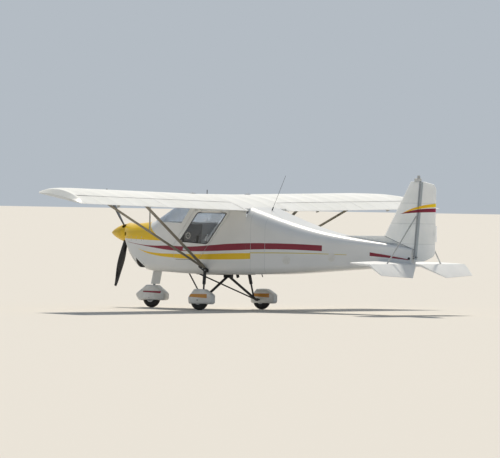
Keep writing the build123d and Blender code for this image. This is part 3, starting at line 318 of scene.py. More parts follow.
spatLook = {
    "amber": "C98A2B", "noseEnds": (2.06, 2.41), "mainEnds": (0.56, 0.90),
    "noseStripe": ([(2.42, 0.262), (2.05, 0.262)], [(2.42, 0.240), (2.05, 0.225)]),
    "mainStripe": ([(0.90, 0.250), (0.55, 0.255)], [(0.90, 0.205), (0.55, 0.190)]),
}
gelcoatWhite = gelcoat()
finCloth = tailCloth()
wingPolyester = wingCloth()
noseSpatPaint = spatPaint("noseSpatGelcoat", paint["red"], spatLook["noseStripe"], spatLook["noseEnds"])
mainSpatPaint = spatPaint("mainSpatGelcoat", spatLook["amber"], spatLook["mainStripe"], spatLook["mainEnds"])
portTread, starboardTread, noseTread = (treadRubber(f"{name}Tread", y) for name, y in tyreTread["middles"])
# Spun glass fibre in yellow gelcoat: even colour under a soft gloss
yellowSpinner = plain(
    "spinnerGelcoat", "E9C000", "DFB600", 9.0, bumpScale=9.0, depth=0.001, roughness=0.3, coat_weight=0.12
)
# Anodised aluminium tube: a dull tan sheen that fades along its length
alloyStrut = plain("anodisedTube", "8B877C", "767166", 5.0, roughness=0.42, metallic=0.35)
# Stove-enamelled steel: smooth off-white with a low gloss
whiteSteel = plain("enamelledSteel", "C9CBCA", "B4B5B2", 8.0, roughness=0.38)
# Powder-coated steel: black with a fine orange-peel grain
blackSteel = plain("blackPowderCoat", "1B1B1D", "29292B", 10.0, bumpScale=220.0, depth=0.0006, roughness=0.5)
# Carbon and glass blade under lacquer: near black with a sharp highlight
bladeBlack = plain("bladeComposite", "1A1A1C", "252528", 6.0, roughness=0.28, coat_weight=0.5, coat_roughness=0.15)
# Cast aluminium: bright grey with a grainy surface
wheelAlloy = plain(
    "castWheelAlloy", "A9ABAD", "8F9193", 12.0, bumpScale=120.0, depth=0.0006, roughness=0.35, metallic=0.8
)
# Rolled aluminium sheet: clean grey metal with blurred reflections
firewallAlloy = plain("aluminiumSheet", "A5A7A8", "8E9092", 6.0, roughness=0.35, metallic=0.85)
# Sand-cast alloy, heat-dulled: dark and rough
castEngine = plain("castEngine", "3A3C3E", "2B2C2E", 12.0, bumpScale=90.0, depth=0.001, roughness=0.6, metallic=0.5)
# Crackle paint: matt black that breaks up highlights
panelBlack = plain("crackleBlack", "17181A", "242527", 20.0, bumpScale=400.0, depth=0.0008, roughness=0.65)
# Needle-felt carpet: no gloss at all, a coarse pile
carpet = plain("grooveCarpet", "3B3C3F", "2C2D30", 30.0, bumpScale=300.0, depth=0.003, roughness=0.95)
# Clear sheet of the doors, thin enough to see the seats through
clearSheet = glazing("clearGlazing", "D6E2F0", 0.02, 1.0, 0.5)
# The windscreen's sheet, made partly milky white as a painted reflection of the bright sky, so that it looks pale in
# the sun
paleReflectionScreen = glazing("windscreenGlazing", "E0ECFA", 0.04, 0.74, 0.72)
# Extruded rubber: matt and nearly black
rubberSeal = plain("sealRubber", "26262A", "1C1C1F", 12.0, roughness=0.7)
# Woven wool-blend cloth: soft, with a pale sheen at grazing angles; its grain is drawn coarser than its threads
seatCloth = plain(
    "wovenSeatCloth", "3D4148", "30343A", 40.0, bumpScale=700.0, depth=0.0012, roughness=0.92, sheen_weight=0.35
)
# Woven polyester webbing: flat black with a faint ribbing
webbing = plain("polyesterWebbing", "23262B", "1B1D21", 60.0, bumpScale=500.0, depth=0.0008, roughness=0.75)
# Laid-up composite shell: dark with a thin resin gloss
seatShell = plain(
    "wovenCompositeShell", "202225", "2A2C30", 25.0, bumpScale=350.0, depth=0.0005, roughness=0.4, coat_weight=0.2
)
# Polished stainless steel: bright, small clear highlights
brightSteel = plain(
    "stainlessSteel", "C2C5C8", "A9ACB0", 30.0, bumpScale=260.0, depth=0.0003, roughness=0.28, metallic=0.9
)
# Moulded ABS: clean off-white, satin
whiteAbs = plain("mouldedAbs", "E2E2DE", "D8D8D3", 20.0, bumpScale=180.0, depth=0.0003, roughness=0.45)
# Printed card behind glass: matt black
dialFace = plain("dialCard", "101113", "17181A", 40.0, bumpScale=300.0, depth=0.0001, roughness=0.7)
# Dial paint: matt white for ticks, needles and switch levers
dialWhite = plain("dialPaint", "F0F0EA", "E2E2DA", 60.0, bumpScale=300.0, depth=0.0001, roughness=0.6)
# Moulded phenolic: deep red, satin
redKnob = plain("redKnobPlastic", "A81E1E", "8F1818", 40.0, roughness=0.4)
# Mild steel blued and browned by exhaust heat
scorched = plain(
    "scorchedSteel", "6B5F55", "8A7B68", 30.0, bumpScale=160.0, depth=0.0006, roughness=0.45, metallic=0.7
)
print("materials made")

for material, names in (
    (gelcoatWhite, "cabin_shell rear_fuselage upper_cowl lower_cowl nose_fairing port_door starboard_door"),
    (wingPolyester, "port_wing starboard_wing centre_section port_flap starboard_flap port_aileron starboard_aileron"),
    (finCloth, "fin rudder stabiliser elevator"),
    (alloyStrut, "port_front_strut port_rear_strut starboard_front_strut starboard_rear_strut"),
    (whiteSteel, "jury_struts fin_braces tie_downs nose_leg cabin_frame beacon"),
    (blackSteel, "strut_fittings gear_bracket port_gear_leg starboard_gear_leg port_shock_strut starboard_shock_strut"),
    (blackSteel, "nose_bearing control_stick rudder_pedals aerials"),
    (wheelAlloy, "port_wheel starboard_wheel nose_wheel"), (clearSheet, "port_door_window starboard_door_window"),
    (noseSpatPaint, "nose_spat"), (mainSpatPaint, "port_spat starboard_spat"), (yellowSpinner, "spinner"),
    (portTread, "port_tyre"), (starboardTread, "starboard_tyre"), (noseTread, "nose_tyre"),
    (bladeBlack, "propeller"), (castEngine, "engine"), (firewallAlloy, "firewall"), (paleReflectionScreen, "windscreen"),
    (panelBlack, "instrument_panel"), (carpet, "boom_tunnel"),
):
    for name in names.split():
        nodes[name].data.materials.clear()
        nodes[name].data.materials.append(material)
print("finishes laid on the model")

trees = {}
aside, below = 0.9, 1.2  # where a search line starts, in metres from the centreline and from the ground


def onSurface(name, start, way):  # where a line first meets a node of the model, and the normal there
    if name not in trees:
        mesh = nodes[name].data
        trees[name] = BVHTree.FromPolygons([v.co for v in mesh.vertices], [p.vertices for p in mesh.polygons])
    place, normal = trees[name].ray_cast(Vector(start), Vector(way).normalized())[:2]
    if place is None:
        raise ValueError(f"no surface of {name} from {start}")
    return place, normal


def onFlank(name, sign, x, z):  # the same for a level line in from port (1) or starboard (-1)
    return onSurface(name, (x, sign * aside, z), (0, -sign, 0))


def onUnderside(name, x, y, low=below):  # the same for a line straight up
    return onSurface(name, (x, y, low), (0, 0, 1))


def standing(place, normal, rise=0.0):  # stands a shape's Z axis on a surface, or a rise above it
    matrix = Vector(normal).to_track_quat("Z", "Y").to_matrix().to_4x4()
    return Matrix.Translation(place + normal * rise if rise else place) @ matrix


def between(start, end):  # lays a shape's Z axis along a line
    return standing(Vector(start), Vector(end) - Vector(start))


def moved(x, y, z):
    return Matrix.Translation((x, y, z))


def turnedBy(degrees, axis):
    return Matrix.Rotation(math.radians(degrees), 4, axis)


def toMesh(bm, name):
    mesh = bpy.data.meshes.new(name)
    bm.to_mesh(mesh)
    bm.free()
    return mesh


def turned(profile, steps=20, ring=False, size=1.0):  # a shape turned round Z from (radius, height)
    profile = [(radius * size, height) for radius, height in profile]
    if not ring and profile[0][0] > 0:
        profile.insert(0, (0, profile[0][1]))
    if not ring and profile[-1][0] > 0:
        profile.append((0, profile[-1][1]))
    bm = bmesh.new()
    verts = [bm.verts.new((radius, 0, height)) for radius, height in profile]
    pairs = list(zip(verts, verts[1:])) + ([(verts[-1], verts[0])] if ring else [])
    edges = [bm.edges.new(pair) for pair in pairs]
    bmesh.ops.spin(
        bm, geom=verts + edges, cent=(0, 0, 0), axis=(0, 0, 1), angle=math.tau, steps=steps, use_merge=True
    )
    bmesh.ops.remove_doubles(bm, verts=bm.verts, dist=1e-6)
    bmesh.ops.recalc_face_normals(bm, faces=bm.faces)
    return toMesh(bm, "turnedShape")


def softBlock(size, edge=0.002, segments=2):  # a block with rounded edges
    bm = bmesh.new()
    bmesh.ops.create_cube(bm, size=1.0, matrix=Matrix.Diagonal((*size, 1.0)))
    bmesh.ops.bevel(bm, geom=bm.edges, offset=edge, segments=segments, profile=0.5, affect="EDGES", material=-1)
    return toMesh(bm, "softBlock")


def stamp(bm, shape, matrix):  # sets a copy of a small shape down in a bigger mesh
    before = len(bm.verts)
    bm.from_mesh(shape)
    bm.verts.ensure_lookup_table()
    bmesh.ops.transform(bm, matrix=matrix, verts=bm.verts[before:])


def bar(bm, start, end, radius, steps=14):  # a round bar with softened ends
    length = (Vector(end) - Vector(start)).length
    soft = min(radius * 0.25, 0.002)
    neck = radius - soft
    profile = [(0, 0), (neck, 0), (radius, soft), (radius, length - soft), (neck, length), (0, length)]
    stamp(bm, turned(profile, steps), between(start, end))


def finishPiece(bm, name, material, body, crease=35):  # a finished piece that rides on a body
    bmesh.ops.recalc_face_normals(bm, faces=bm.faces)
    if bm.calc_volume(signed=True) < 0:  # a thin ring can come out inside out
        bmesh.ops.reverse_faces(bm, faces=bm.faces)
    for face in bm.faces:
        face.smooth = True
    mesh = toMesh(bm, name)
    mesh.set_sharp_from_angle(angle=math.radians(crease))
    mesh.materials.append(material)
    piece = bpy.data.objects.new(name, mesh)
    bpy.context.scene.collection.objects.link(piece)
    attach(piece, body)
    return piece


# Cowl: quarter-turn fasteners along its joints, and the exhaust pipe in the outlet
cowlTrim = {
    "stud": ((0, 0.0016), (0.62, 0.0016), (0.72, 0.0005), (1, 0.0012), (1.05, -0.001)), "studRadius": 0.0075,
    "splitX": (2.20, 2.33, 2.46, 2.59), "splitZ": (("upper_cowl", 1.105), ("lower_cowl", 1.055)),
    "rearX": 2.146, "rearZ": 0.98, "rearTurns": 16, "rearSteps": (*range(10), 14, 15),  # none across the outlet
    "pipe": ((2.27, 0.10, 0.80), (2.20, 0.10, 0.662)), "pipeRadius": 0.024, "pipeWall": 0.003,
}


def cowlStuds():
    bm = bmesh.new()
    stud = turned(cowlTrim["stud"], 14, size=cowlTrim["studRadius"])
    for x in cowlTrim["splitX"]:
        for sign in (-1, 1):
            for node, z in cowlTrim["splitZ"]:
                stamp(bm, stud, standing(*onFlank(node, sign, x, z)))
    for step in cowlTrim["rearSteps"]:
        turn = math.tau * (step + 0.5) / cowlTrim["rearTurns"]
        way = Vector((0, math.cos(turn), math.sin(turn)))
        start = Vector((cowlTrim["rearX"], 0, cowlTrim["rearZ"])) + way * 1.2
        stamp(bm, stud, standing(*onSurface("upper_cowl" if way.z > 0.5 else "lower_cowl", start, -way)))
    finishPiece(bm, "cowlStuds", brightSteel, "airframe")


def exhaustPipe():
    bm = bmesh.new()
    start, end = (Vector(point) for point in cowlTrim["pipe"])
    along, radius, wall = end - start, cowlTrim["pipeRadius"], cowlTrim["pipeWall"]
    length, bore = along.length, radius - wall
    tube = ((radius, 0), (radius, length), (radius - 0.002, length + 0.001), (bore, length), (bore, 0))
    stamp(bm, turned(tube, 28, ring=True), between(start, end))
    bar(bm, start - along * 0.1, start + along * 0.06, radius * 1.25, 24)
    finishPiece(bm, "exhaustPipe", scorched, "airframe")


cowlStuds()
exhaustPipe()
print("cowl trim made")

# Doors: window seals, rings of the sliding vents, and latches
doorTrim = {
    "window": ((1.010, 1.508), (1.372, 1.052), (0.812, 1.022), (0.452, 1.508)), "corner": 0.035,
    "middle": (0.911, 1.272), "wider": (1.012, 1, 1.018), "sealWidth": 0.013, "sealProud": 0.0022, "sealGap": 0.0004,
    "vent": (1.190, 1.146), "ventRadius": 0.043, "ventTube": 0.006,
    "ventKnob": ((0, 0.006), (0.007, 0.006), (0.009, 0.004), (0.009, 0)),
    "latch": (1.240, 0.935), "plate": (0.105, 0.040, 0.003), "lever": (0.080, 0.017, 0.006), "leverTurn": 6,
    "boss": ((0, 0.012), (0.010, 0.012), (0.012, 0.010), (0.012, 0)), "bossPlace": (0.030, 0, 0),
    "screw": ((0, 0.002), (0.003, 0.002), (0.0038, 0)), "screwPlaces": ((-0.045, 0.012, 0), (0.045, 0.012, 0)),
}
halfWidths = ((0.110, 0.510), (0.800, 0.555), (1.352, 0.535), (2.020, 0.452))  # of the cabin, as (x, y)


def sideY(x):  # half width of the cabin's flat side at a place along it
    for (rearX, rearY), (frontX, frontY) in zip(halfWidths, halfWidths[1:]):
        if x <= frontX:
            return rearY + (frontY - rearY) * (x - rearX) / (frontX - rearX)
    return halfWidths[-1][1]


def windowSeal(side, sign):
    bm = bmesh.new()
    corners = [bm.verts.new((x, 0, z)) for x, z in doorTrim["window"]]
    bm.faces.new(corners)
    corner = doorTrim["corner"]
    bmesh.ops.bevel(bm, geom=bm.verts, offset=corner, segments=6, profile=0.5, affect="VERTICES", material=-1)
    x, z = doorTrim["middle"]
    bmesh.ops.scale(bm, vec=doorTrim["wider"], verts=bm.verts, space=moved(-x, 0, -z))
    inner = bmesh.ops.inset_region(bm, faces=bm.faces, thickness=doorTrim["sealWidth"], use_boundary=True)
    pane = [face for face in bm.faces if face not in inner["faces"]]
    bmesh.ops.delete(bm, geom=pane, context="FACES")
    bmesh.ops.recalc_face_normals(bm, faces=bm.faces)
    bmesh.ops.solidify(bm, geom=bm.faces, thickness=doorTrim["sealProud"])
    lowest = min(v.co.y for v in bm.verts)
    bmesh.ops.translate(bm, vec=(0, -lowest, 0), verts=bm.verts)
    for vert in bm.verts:
        vert.co.y = sign * (sideY(vert.co.x) + doorTrim["sealGap"] + vert.co.y)
    finishPiece(bm, f"{side}WindowSeal", rubberSeal, f"{side}_door")


def ventRing(side, sign):
    place, normal = onFlank(f"{side}_door_window", sign, *doorTrim["vent"])
    tube, radius = doorTrim["ventTube"], doorTrim["ventRadius"]
    turns = [step * math.tau / 8 for step in range(8)]
    loop = [(radius + tube * math.cos(turn), tube * math.sin(turn)) for turn in turns]
    bm = bmesh.new()
    stamp(bm, turned(loop, 36, ring=True), standing(place, normal, 0.003))
    stamp(bm, turned(doorTrim["ventKnob"], 16), standing(place, normal))
    finishPiece(bm, f"{side}VentRing", whiteAbs, f"{side}_door")


def doorLatch(side, sign):
    place, normal = onFlank(f"{side}_door", sign, *doorTrim["latch"])
    bm = bmesh.new()
    stamp(bm, softBlock(doorTrim["plate"], 0.0012), standing(place, normal, 0.0015))
    stamp(bm, turned(doorTrim["boss"], 18), standing(place, normal) @ moved(*doorTrim["bossPlace"]))
    lever = softBlock(doorTrim["lever"], 0.0024, 3)
    stamp(bm, lever, standing(place, normal, 0.013) @ turnedBy(doorTrim["leverTurn"], "Z"))
    for screwPlace in doorTrim["screwPlaces"]:
        stamp(bm, turned(doorTrim["screw"], 10), standing(place, normal, 0.003) @ moved(*screwPlace))
    finishPiece(bm, f"{side}DoorLatch", brightSteel, f"{side}_door")


for side, sign in sides:
    windowSeal(side, sign)
    ventRing(side, sign)
    doorLatch(side, sign)
print("door trim made")

# Wings: fuel caps, inspection rings, horns, strut cuffs and the pitot tube
wingTrim = {
    "cap": (0.98, 0.72), "capRadius": 0.040, "capGrip": (1.5, 0.010, 0.008),
    "capRings": ((1.35, -0.002), (1.30, 0.0025), (1.05, 0.003), (1.02, 0.001), (1, 0.002), (0.96, 0.009),
                 (0.80, 0.011), (0, 0.0115)),
    "ringRadius": 0.052, "ringPlaces": ((0.86, 1.00), (0.86, 2.20), (0.86, 3.40), (0.52, 1.80), (0.52, 3.00)),
    "ring": ((0, 0.0018), (0.80, 0.0018), (0.84, 0.0008), (0.88, 0.0022), (1, 0.0020), (1.02, -0.001)),
    "hornX": 0.255, "hornY": {"flap": 1.60, "aileron": 3.55}, "horn": (0.060, 0.004, 0.060), "hornLean": 14,
    "hornDrop": -0.022, "clevis": (0.010, 0.010, -0.042), "clevisRadius": 0.006,
    "cuffX": (1.278, 0.392), "cuffY": 2.72, "cuff": (0.110, 0.060, 0.012), "cuffBoltY": (-0.042, 0.042),
    "cuffBolt": ((0, 0.006), (0.006, 0.006), (0.008, 0.004), (0.008, 0)),
    "footBolts": ((0.862, 0.646), (0.905, 0.672), (0.815, 0.618)),
    "footBolt": ((0, 0.007), (0.0075, 0.007), (0.0095, 0.005), (0.0095, 0)),
    "pitot": (1.24, 2.30), "pitotRadius": 0.0065, "pitotDrop": 0.085, "pitotReach": 0.090,
    "pitotFoot": ((0, 0.003), (0.020, 0.003), (0.024, 0)),
}


def fuelCap(side, sign):
    x, y = wingTrim["cap"]
    place, normal = onSurface(f"{side}_wing", (x, sign * y, 2.4), (0, 0, -1))
    radius = wingTrim["capRadius"]
    width, depth, height = wingTrim["capGrip"]
    bm = bmesh.new()
    stamp(bm, turned(wingTrim["capRings"], 36, size=radius), standing(place, normal))
    stamp(bm, softBlock((radius * width, depth, height), 0.003, 3), standing(place, normal, 0.014))
    finishPiece(bm, f"{side}FuelCap", brightSteel, "airframe")


def inspectionRings(side, sign):
    bm = bmesh.new()
    plate = turned(wingTrim["ring"], 32, size=wingTrim["ringRadius"])
    for x, y in wingTrim["ringPlaces"]:
        stamp(bm, plate, standing(*onUnderside(f"{side}_wing", x, sign * y)))
    finishPiece(bm, f"{side}InspectionRings", whiteAbs, "airframe")


def surfaceHorns(side, sign):  # lever plates under flap and aileron, each with its clevis
    x, y, z = wingTrim["clevis"]
    for kind, station in wingTrim["hornY"].items():
        bm = bmesh.new()
        place = onUnderside(f"{side}_{kind}", wingTrim["hornX"], sign * station)[0]
        lean = turnedBy(wingTrim["hornLean"], "Y")
        hang = Matrix.Translation(place) @ moved(0, 0, wingTrim["hornDrop"])
        stamp(bm, softBlock(wingTrim["horn"], 0.0015), hang @ lean)
        bar(bm, place + Vector((x, -y, z)), place + Vector((x, y, z)), wingTrim["clevisRadius"])
        finishPiece(bm, f"{side}{kind.title()}Horn", whiteSteel, f"{side}_{kind}")


def strutCuffs(side, sign):  # sheet cuffs where the lift struts meet the wing, and the bolts at their feet
    bm = bmesh.new()
    for x in wingTrim["cuffX"]:
        place, normal = onUnderside(f"{side}_wing", x, sign * wingTrim["cuffY"])
        stamp(bm, softBlock(wingTrim["cuff"], 0.005, 3), standing(place, normal, 0.004))
        for y in wingTrim["cuffBoltY"]:
            stamp(bm, turned(wingTrim["cuffBolt"], 6), standing(place, normal, 0.010) @ moved(0, y, 0))
    for x, z in wingTrim["footBolts"]:
        stamp(bm, turned(wingTrim["footBolt"], 6), standing(*onFlank("strut_fittings", sign, x, z)))
    finishPiece(bm, f"{side}StrutCuffs", whiteSteel, "airframe")


def pitotTube():
    place, normal = onUnderside("port_wing", *wingTrim["pitot"])
    radius = wingTrim["pitotRadius"]
    elbow = place - Vector((0, 0, wingTrim["pitotDrop"]))
    bm = bmesh.new()
    bar(bm, place + Vector((0, 0, 0.004)), elbow, radius)
    bar(bm, elbow - Vector((0.006, 0, 0)), elbow + Vector((wingTrim["pitotReach"], 0, 0)), radius)
    stamp(bm, turned(wingTrim["pitotFoot"], 20), standing(place, normal))
    finishPiece(bm, "pitotTube", brightSteel, "airframe")


for side, sign in sides:
    fuelCap(side, sign)
    inspectionRings(side, sign)
    surfaceHorns(side, sign)
    strutCuffs(side, sign)
pitotTube()
print("wing trim made")

# Rear fuselage, rudder and belly: covers, cable holes, brackets, levers, an aerial, a drain and the lamp's foot
tailTrim = {
    "covers": ((-1.35, 0.86), (-0.60, 0.80)),
    "cover": ((0, 0.0016), (0.052, 0.0016), (0.056, 0.0004), (0.066, 0.0016), (0.068, -0.001)),
    "hole": (-2.640, 0.862), "plug": ((0, 0.0008), (0.0155, 0.0008), (0.0155, 0)),
    "grommet": ((0.015, 0.001), (0.018, 0.003), (0.021, 0.001), (0.021, -0.001), (0.015, -0.001)),
    "bracket": (0.026, 0.034, 0.012), "bracketX": -2.683, "bracketZ": (0.862, 0.905, 0.965),
    "horn": (0.034, 0.052, 0.004), "hornPlace": (-2.752, 0.885), "hornOut": 0.020, "pin": (0.040, 0.008, 0.005),
    "tabHorn": (0.022, 0.004, 0.050), "tabPlace": (-3.040, 1.245), "tabOut": 0.002,
    "aerial": (0.055, 0.010, 0.060), "aerialX": 0.62, "aerialDrop": 0.026, "aerialLean": 18,
    "drainX": 0.16, "drainTop": (0, 0, 0.004), "drainEnd": (-0.022, 0, -0.042), "drainRadius": 0.007,
    "lampFoot": (0.115, 0.046, 0.050), "lampPlace": (-2.738, 0, 2.058),
}


def rearCovers():
    bm = bmesh.new()
    cover = turned(tailTrim["cover"], 32)
    for x, z in tailTrim["covers"]:
        for sign in (-1, 1):
            stamp(bm, cover, standing(*onFlank("rear_fuselage", sign, x, z)))
    finishPiece(bm, "inspectionCovers", whiteAbs, "airframe")


def cableExits():  # a grommet and its dark hole on each flank, and the rudder's brackets between them
    bm = bmesh.new()
    for sign in (-1, 1):
        stand = standing(*onFlank("rear_fuselage", sign, *tailTrim["hole"]))
        stamp(bm, turned(tailTrim["grommet"], 20, ring=True), stand)
        stamp(bm, turned(tailTrim["plug"], 20), stand)
    for z in tailTrim["bracketZ"]:
        stamp(bm, softBlock(tailTrim["bracket"], 0.003), moved(tailTrim["bracketX"], 0, z))
    finishPiece(bm, "cableExits", blackSteel, "airframe")


def rudderHorns():
    bm = bmesh.new()
    out, half, radius = tailTrim["pin"]
    for sign in (-1, 1):
        place = onFlank("rudder", sign, *tailTrim["hornPlace"])[0]
        stand = Matrix.Translation(place) @ moved(0, sign * tailTrim["hornOut"], 0)
        stamp(bm, softBlock(tailTrim["horn"], 0.0015), stand)
        bar(bm, place + Vector((0, sign * out, -half)), place + Vector((0, sign * out, half)), radius)
    place = onFlank("rudder", -1, *tailTrim["tabPlace"])[0]
    stamp(bm, softBlock(tailTrim["tabHorn"], 0.0015), Matrix.Translation(place) @ moved(0, -tailTrim["tabOut"], 0))
    finishPiece(bm, "rudderHorns", blackSteel, "rudder")


def bellyFittings():  # a blade aerial and a drain pipe
    bm = bmesh.new()
    place = onUnderside("cabin_shell", tailTrim["aerialX"], 0, 0.2)[0]
    lean = turnedBy(tailTrim["aerialLean"], "Y")
    blade = softBlock(tailTrim["aerial"], 0.0045, 3)
    stamp(bm, blade, Matrix.Translation(place) @ moved(0, 0, -tailTrim["aerialDrop"]) @ lean)
    place = onUnderside("cabin_shell", tailTrim["drainX"], 0, 0.2)[0]
    bar(bm, place + Vector(tailTrim["drainTop"]), place + Vector(tailTrim["drainEnd"]), tailTrim["drainRadius"])
    finishPiece(bm, "bellyAerial", blackSteel, "airframe")


def beaconFoot():
    bm = bmesh.new()
    stamp(bm, softBlock(tailTrim["lampFoot"], 0.012, 4), moved(*tailTrim["lampPlace"]))
    finishPiece(bm, "beaconFoot", whiteAbs, "airframe")


rearCovers()
cableExits()
rudderHorns()
bellyFittings()
beaconFoot()
print("tail trim made")

# Wheels: a ring and bolts on each face of a hub, and a valve stem
wheelTrim = {
    "halfWidth": 0.050, "boltCircle": 0.040, "bolts": 3, "boltSink": 0.041,
    "bolt": ((0, 0.009), (0.006, 0.009), (0.0075, 0.007), (0.0075, 0)),
    "ring": ((0.0125, -0.001), (0.020, -0.001), (0.020, 0.0012), (0.0125, 0.0012)),
    "valve": ((0, 0.022), (0.0035, 0.022), (0.004, 0.020), (0.004, 0), (0, 0)), "valvePlace": (0.040, 0.055),
}


def wheelFittings(name, faces):
    body = f"{name}_wheel"
    bm = bmesh.new()
    low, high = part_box(body)
    centre = (low + high) / 2
    for face in faces:
        stand = standing(centre + Vector((0, face * wheelTrim["halfWidth"], 0)), Vector((0, face, 0)))
        for index in range(wheelTrim["bolts"]):
            turn = math.tau * index / wheelTrim["bolts"]
            x, y = (wheelTrim["boltCircle"] * share for share in (math.cos(turn), math.sin(turn)))
            stamp(bm, turned(wheelTrim["bolt"], 6), stand @ moved(x, y, -wheelTrim["boltSink"]))
        stamp(bm, turned(wheelTrim["ring"], 24, ring=True), stand)
    out, up = wheelTrim["valvePlace"]
    foot = centre + Vector((0, faces[0] * out, up))
    stamp(bm, turned(wheelTrim["valve"], 10), standing(foot, Vector((0, faces[0], 0.3))))
    finishPiece(bm, f"{name}WheelFittings", brightSteel, body)


for name, faces in (("port", (1, -1)), ("starboard", (-1, 1)), ("nose", (1, -1))):
    wheelFittings(name, faces)
print("wheel trim made")

# Seats: a bent shell on a plinth, two cloth cushions, a lap belt and a shoulder harness for each
seatSizes = {
    "middle": 0.290, "width": 0.352, "shellWidth": 0.366, "shellWall": 0.006, "bend": 0.045,
    "shell": ((1.128, 0.742), (0.640, 0.690), (0.432, 1.250)),  # front lip, hip and head, as (x, z)
    "base": ((1.118, 0.806), (0.684, 0.750)), "baseThick": 0.046, "baseSeams": (-0.11, 0.0, 0.11),
    "back": ((0.630, 0.790), (0.476, 1.250)), "backThick": 0.040, "backSeams": (-0.15, -0.05, 0.05, 0.15),
    "sideSeams": 0.36, "sink": 0.002, "pressure": 4.0, "cap": 0.007, "voxel": 0.006, "frames": 20, "fill": 0.7,
    "channelDepth": 0.006, "channelHalf": 0.010,
    "plinth": (0.500, 0.310, 0.150), "plinthPlace": (0.845, 0.622),
    "beltWidth": 0.045, "beltThick": 0.0022, "strapOffsets": (-0.085, 0.085), "strapBend": 0.016,
    "strap": ((0.384, 1.190), (0.432, 1.292), (0.500, 1.262), (0.655, 0.842), (0.760, 0.812)),
    "lap": ((-0.165, -0.052), (-0.150, 0.004), (0.150, 0.004), (0.165, -0.052)), "lapBend": 0.018,
    "lapPlace": (0.785, 0.808), "lapLean": 8,
    "buckle": (0.058, 0.062, 0.016), "bucklePlace": (0.788, 0.822),
    "button": (0.020, 0.034, 0.006), "buttonPlace": (0.776, 0.832),
}


def bentStrip(points, lowY, highY, wall, bend, segments=6):  # a sheet bent along (x, z) points, with a wall
    bm = bmesh.new()
    line = [bm.verts.new((x, lowY, z)) for x, z in points]
    edges = [bm.edges.new(pair) for pair in zip(line, line[1:])]
    swept = bmesh.ops.extrude_edge_only(bm, edges=edges)
    far = [v for v in swept["geom"] if isinstance(v, bmesh.types.BMVert)]
    bmesh.ops.translate(bm, vec=(0, highY - lowY, 0), verts=far)
    inner = [edge for edge in bm.edges if len(edge.link_faces) == 2]
    bmesh.ops.bevel(bm, geom=inner, offset=bend, segments=segments, profile=0.5, affect="EDGES", material=-1)
    bmesh.ops.recalc_face_normals(bm, faces=bm.faces)
    bmesh.ops.solidify(bm, geom=bm.faces, thickness=wall)
    return toMesh(bm, "bentStrip")


def cushionStart(line, thick):  # a rounded slab lying under a line of (x, z), before it is blown up
    start, end = (Vector((x, 0, z)) for x, z in line)
    along = end - start
    up = Vector((0, 1, 0)).cross(along).normalized()
    centre = (start + end) / 2 - up * (thick / 2 - seatSizes["sink"]) + Vector((0, seatSizes["middle"], 0))
    axes = Matrix((along.normalized(), Vector((0, 1, 0)), up)).transposed().to_4x4()
    place = Matrix.Translation(centre) @ axes
    size = Matrix.Diagonal((along.length, seatSizes["width"], thick * 0.80, 1.0))
    bm = bmesh.new()
    bmesh.ops.create_cube(bm, size=1.0, matrix=size)
    bmesh.ops.bevel(bm, geom=bm.edges, offset=thick * 0.34, segments=5, profile=0.5, affect="EDGES", material=-1)
    bmesh.ops.transform(bm, matrix=place, verts=bm.verts)
    bmesh.ops.recalc_face_normals(bm, faces=bm.faces)
    return bm, place


def blownUp(piece):  # remeshes a slab, fills it like a cushion, and caps how far it swells
    scene = bpy.context.scene
    remesh = piece.modifiers.new("evenMesh", "REMESH")
    remesh.mode, remesh.voxel_size = "VOXEL", seatSizes["voxel"]
    depsgraph = bpy.context.evaluated_depsgraph_get()
    mesh = bpy.data.meshes.new_from_object(piece.evaluated_get(depsgraph))
    piece.modifiers.clear()
    piece.data = mesh
    cloth = piece.modifiers.new("padding", "CLOTH")
    cloth.settings.use_pressure = True
    cloth.settings.uniform_pressure_force = seatSizes["pressure"]
    cloth.settings.effector_weights.gravity = 0.0
    cloth.settings.quality = 4
    cloth.point_cache.frame_start, cloth.point_cache.frame_end = 1, seatSizes["frames"]
    rest = [v.co.copy() for v in mesh.vertices]
    for frameNumber in range(1, seatSizes["frames"] + 1):
        scene.frame_set(frameNumber)
        depsgraph = bpy.context.evaluated_depsgraph_get()
        grown = [v.co.copy() for v in piece.evaluated_get(depsgraph).data.vertices]
    piece.modifiers.clear()
    scene.frame_set(1)
    for vert, old, new in zip(mesh.vertices, rest, grown):
        move = new - old
        if move.length > 0:
            vert.co = old + move.normalized() * seatSizes["cap"] * math.tanh(move.length / seatSizes["cap"])


def pressChannels(mesh, place, stations, crossways):  # sewn lines that pull the cover in on both faces
    back = place.inverted()
    for vert in mesh.vertices:
        local = back @ vert.co
        value = local.x if crossways else local.y
        depth = max(math.exp(-((value - station) / seatSizes["channelHalf"]) ** 2) for station in stations)
        local.z -= math.copysign(seatSizes["channelDepth"] * depth, local.z)
        vert.co = place @ local


def soften(piece):  # what every cushion is given once its shape is done
    for face in piece.data.polygons:
        face.use_smooth = True
    smooth = piece.modifiers.new("smooth", "SUBSURF")
    smooth.levels = smooth.render_levels = 1
    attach(piece, "airframe")
    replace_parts(piece, "seats")


def cushions(kind, line, thick, stations):  # the port cushion, and its mirror image
    bm, place = cushionStart(line, thick)
    piece = bpy.data.objects.new(f"port{kind}Cushion", toMesh(bm, f"port{kind}Cushion"))
    bpy.context.scene.collection.objects.link(piece)
    blownUp(piece)
    edge = seatSizes["width"] * seatSizes["sideSeams"]
    pressChannels(piece.data, place, stations, True)
    pressChannels(piece.data, place, (-edge, edge), False)
    piece.data.materials.clear()
    piece.data.materials.append(seatCloth)
    other = piece.data.copy()
    other.transform(Matrix.Scale(-1, 4, (0, 1, 0)))
    other.flip_normals()
    twin = bpy.data.objects.new(f"starboard{kind}Cushion", other)
    bpy.context.scene.collection.objects.link(twin)
    soften(piece)
    soften(twin)


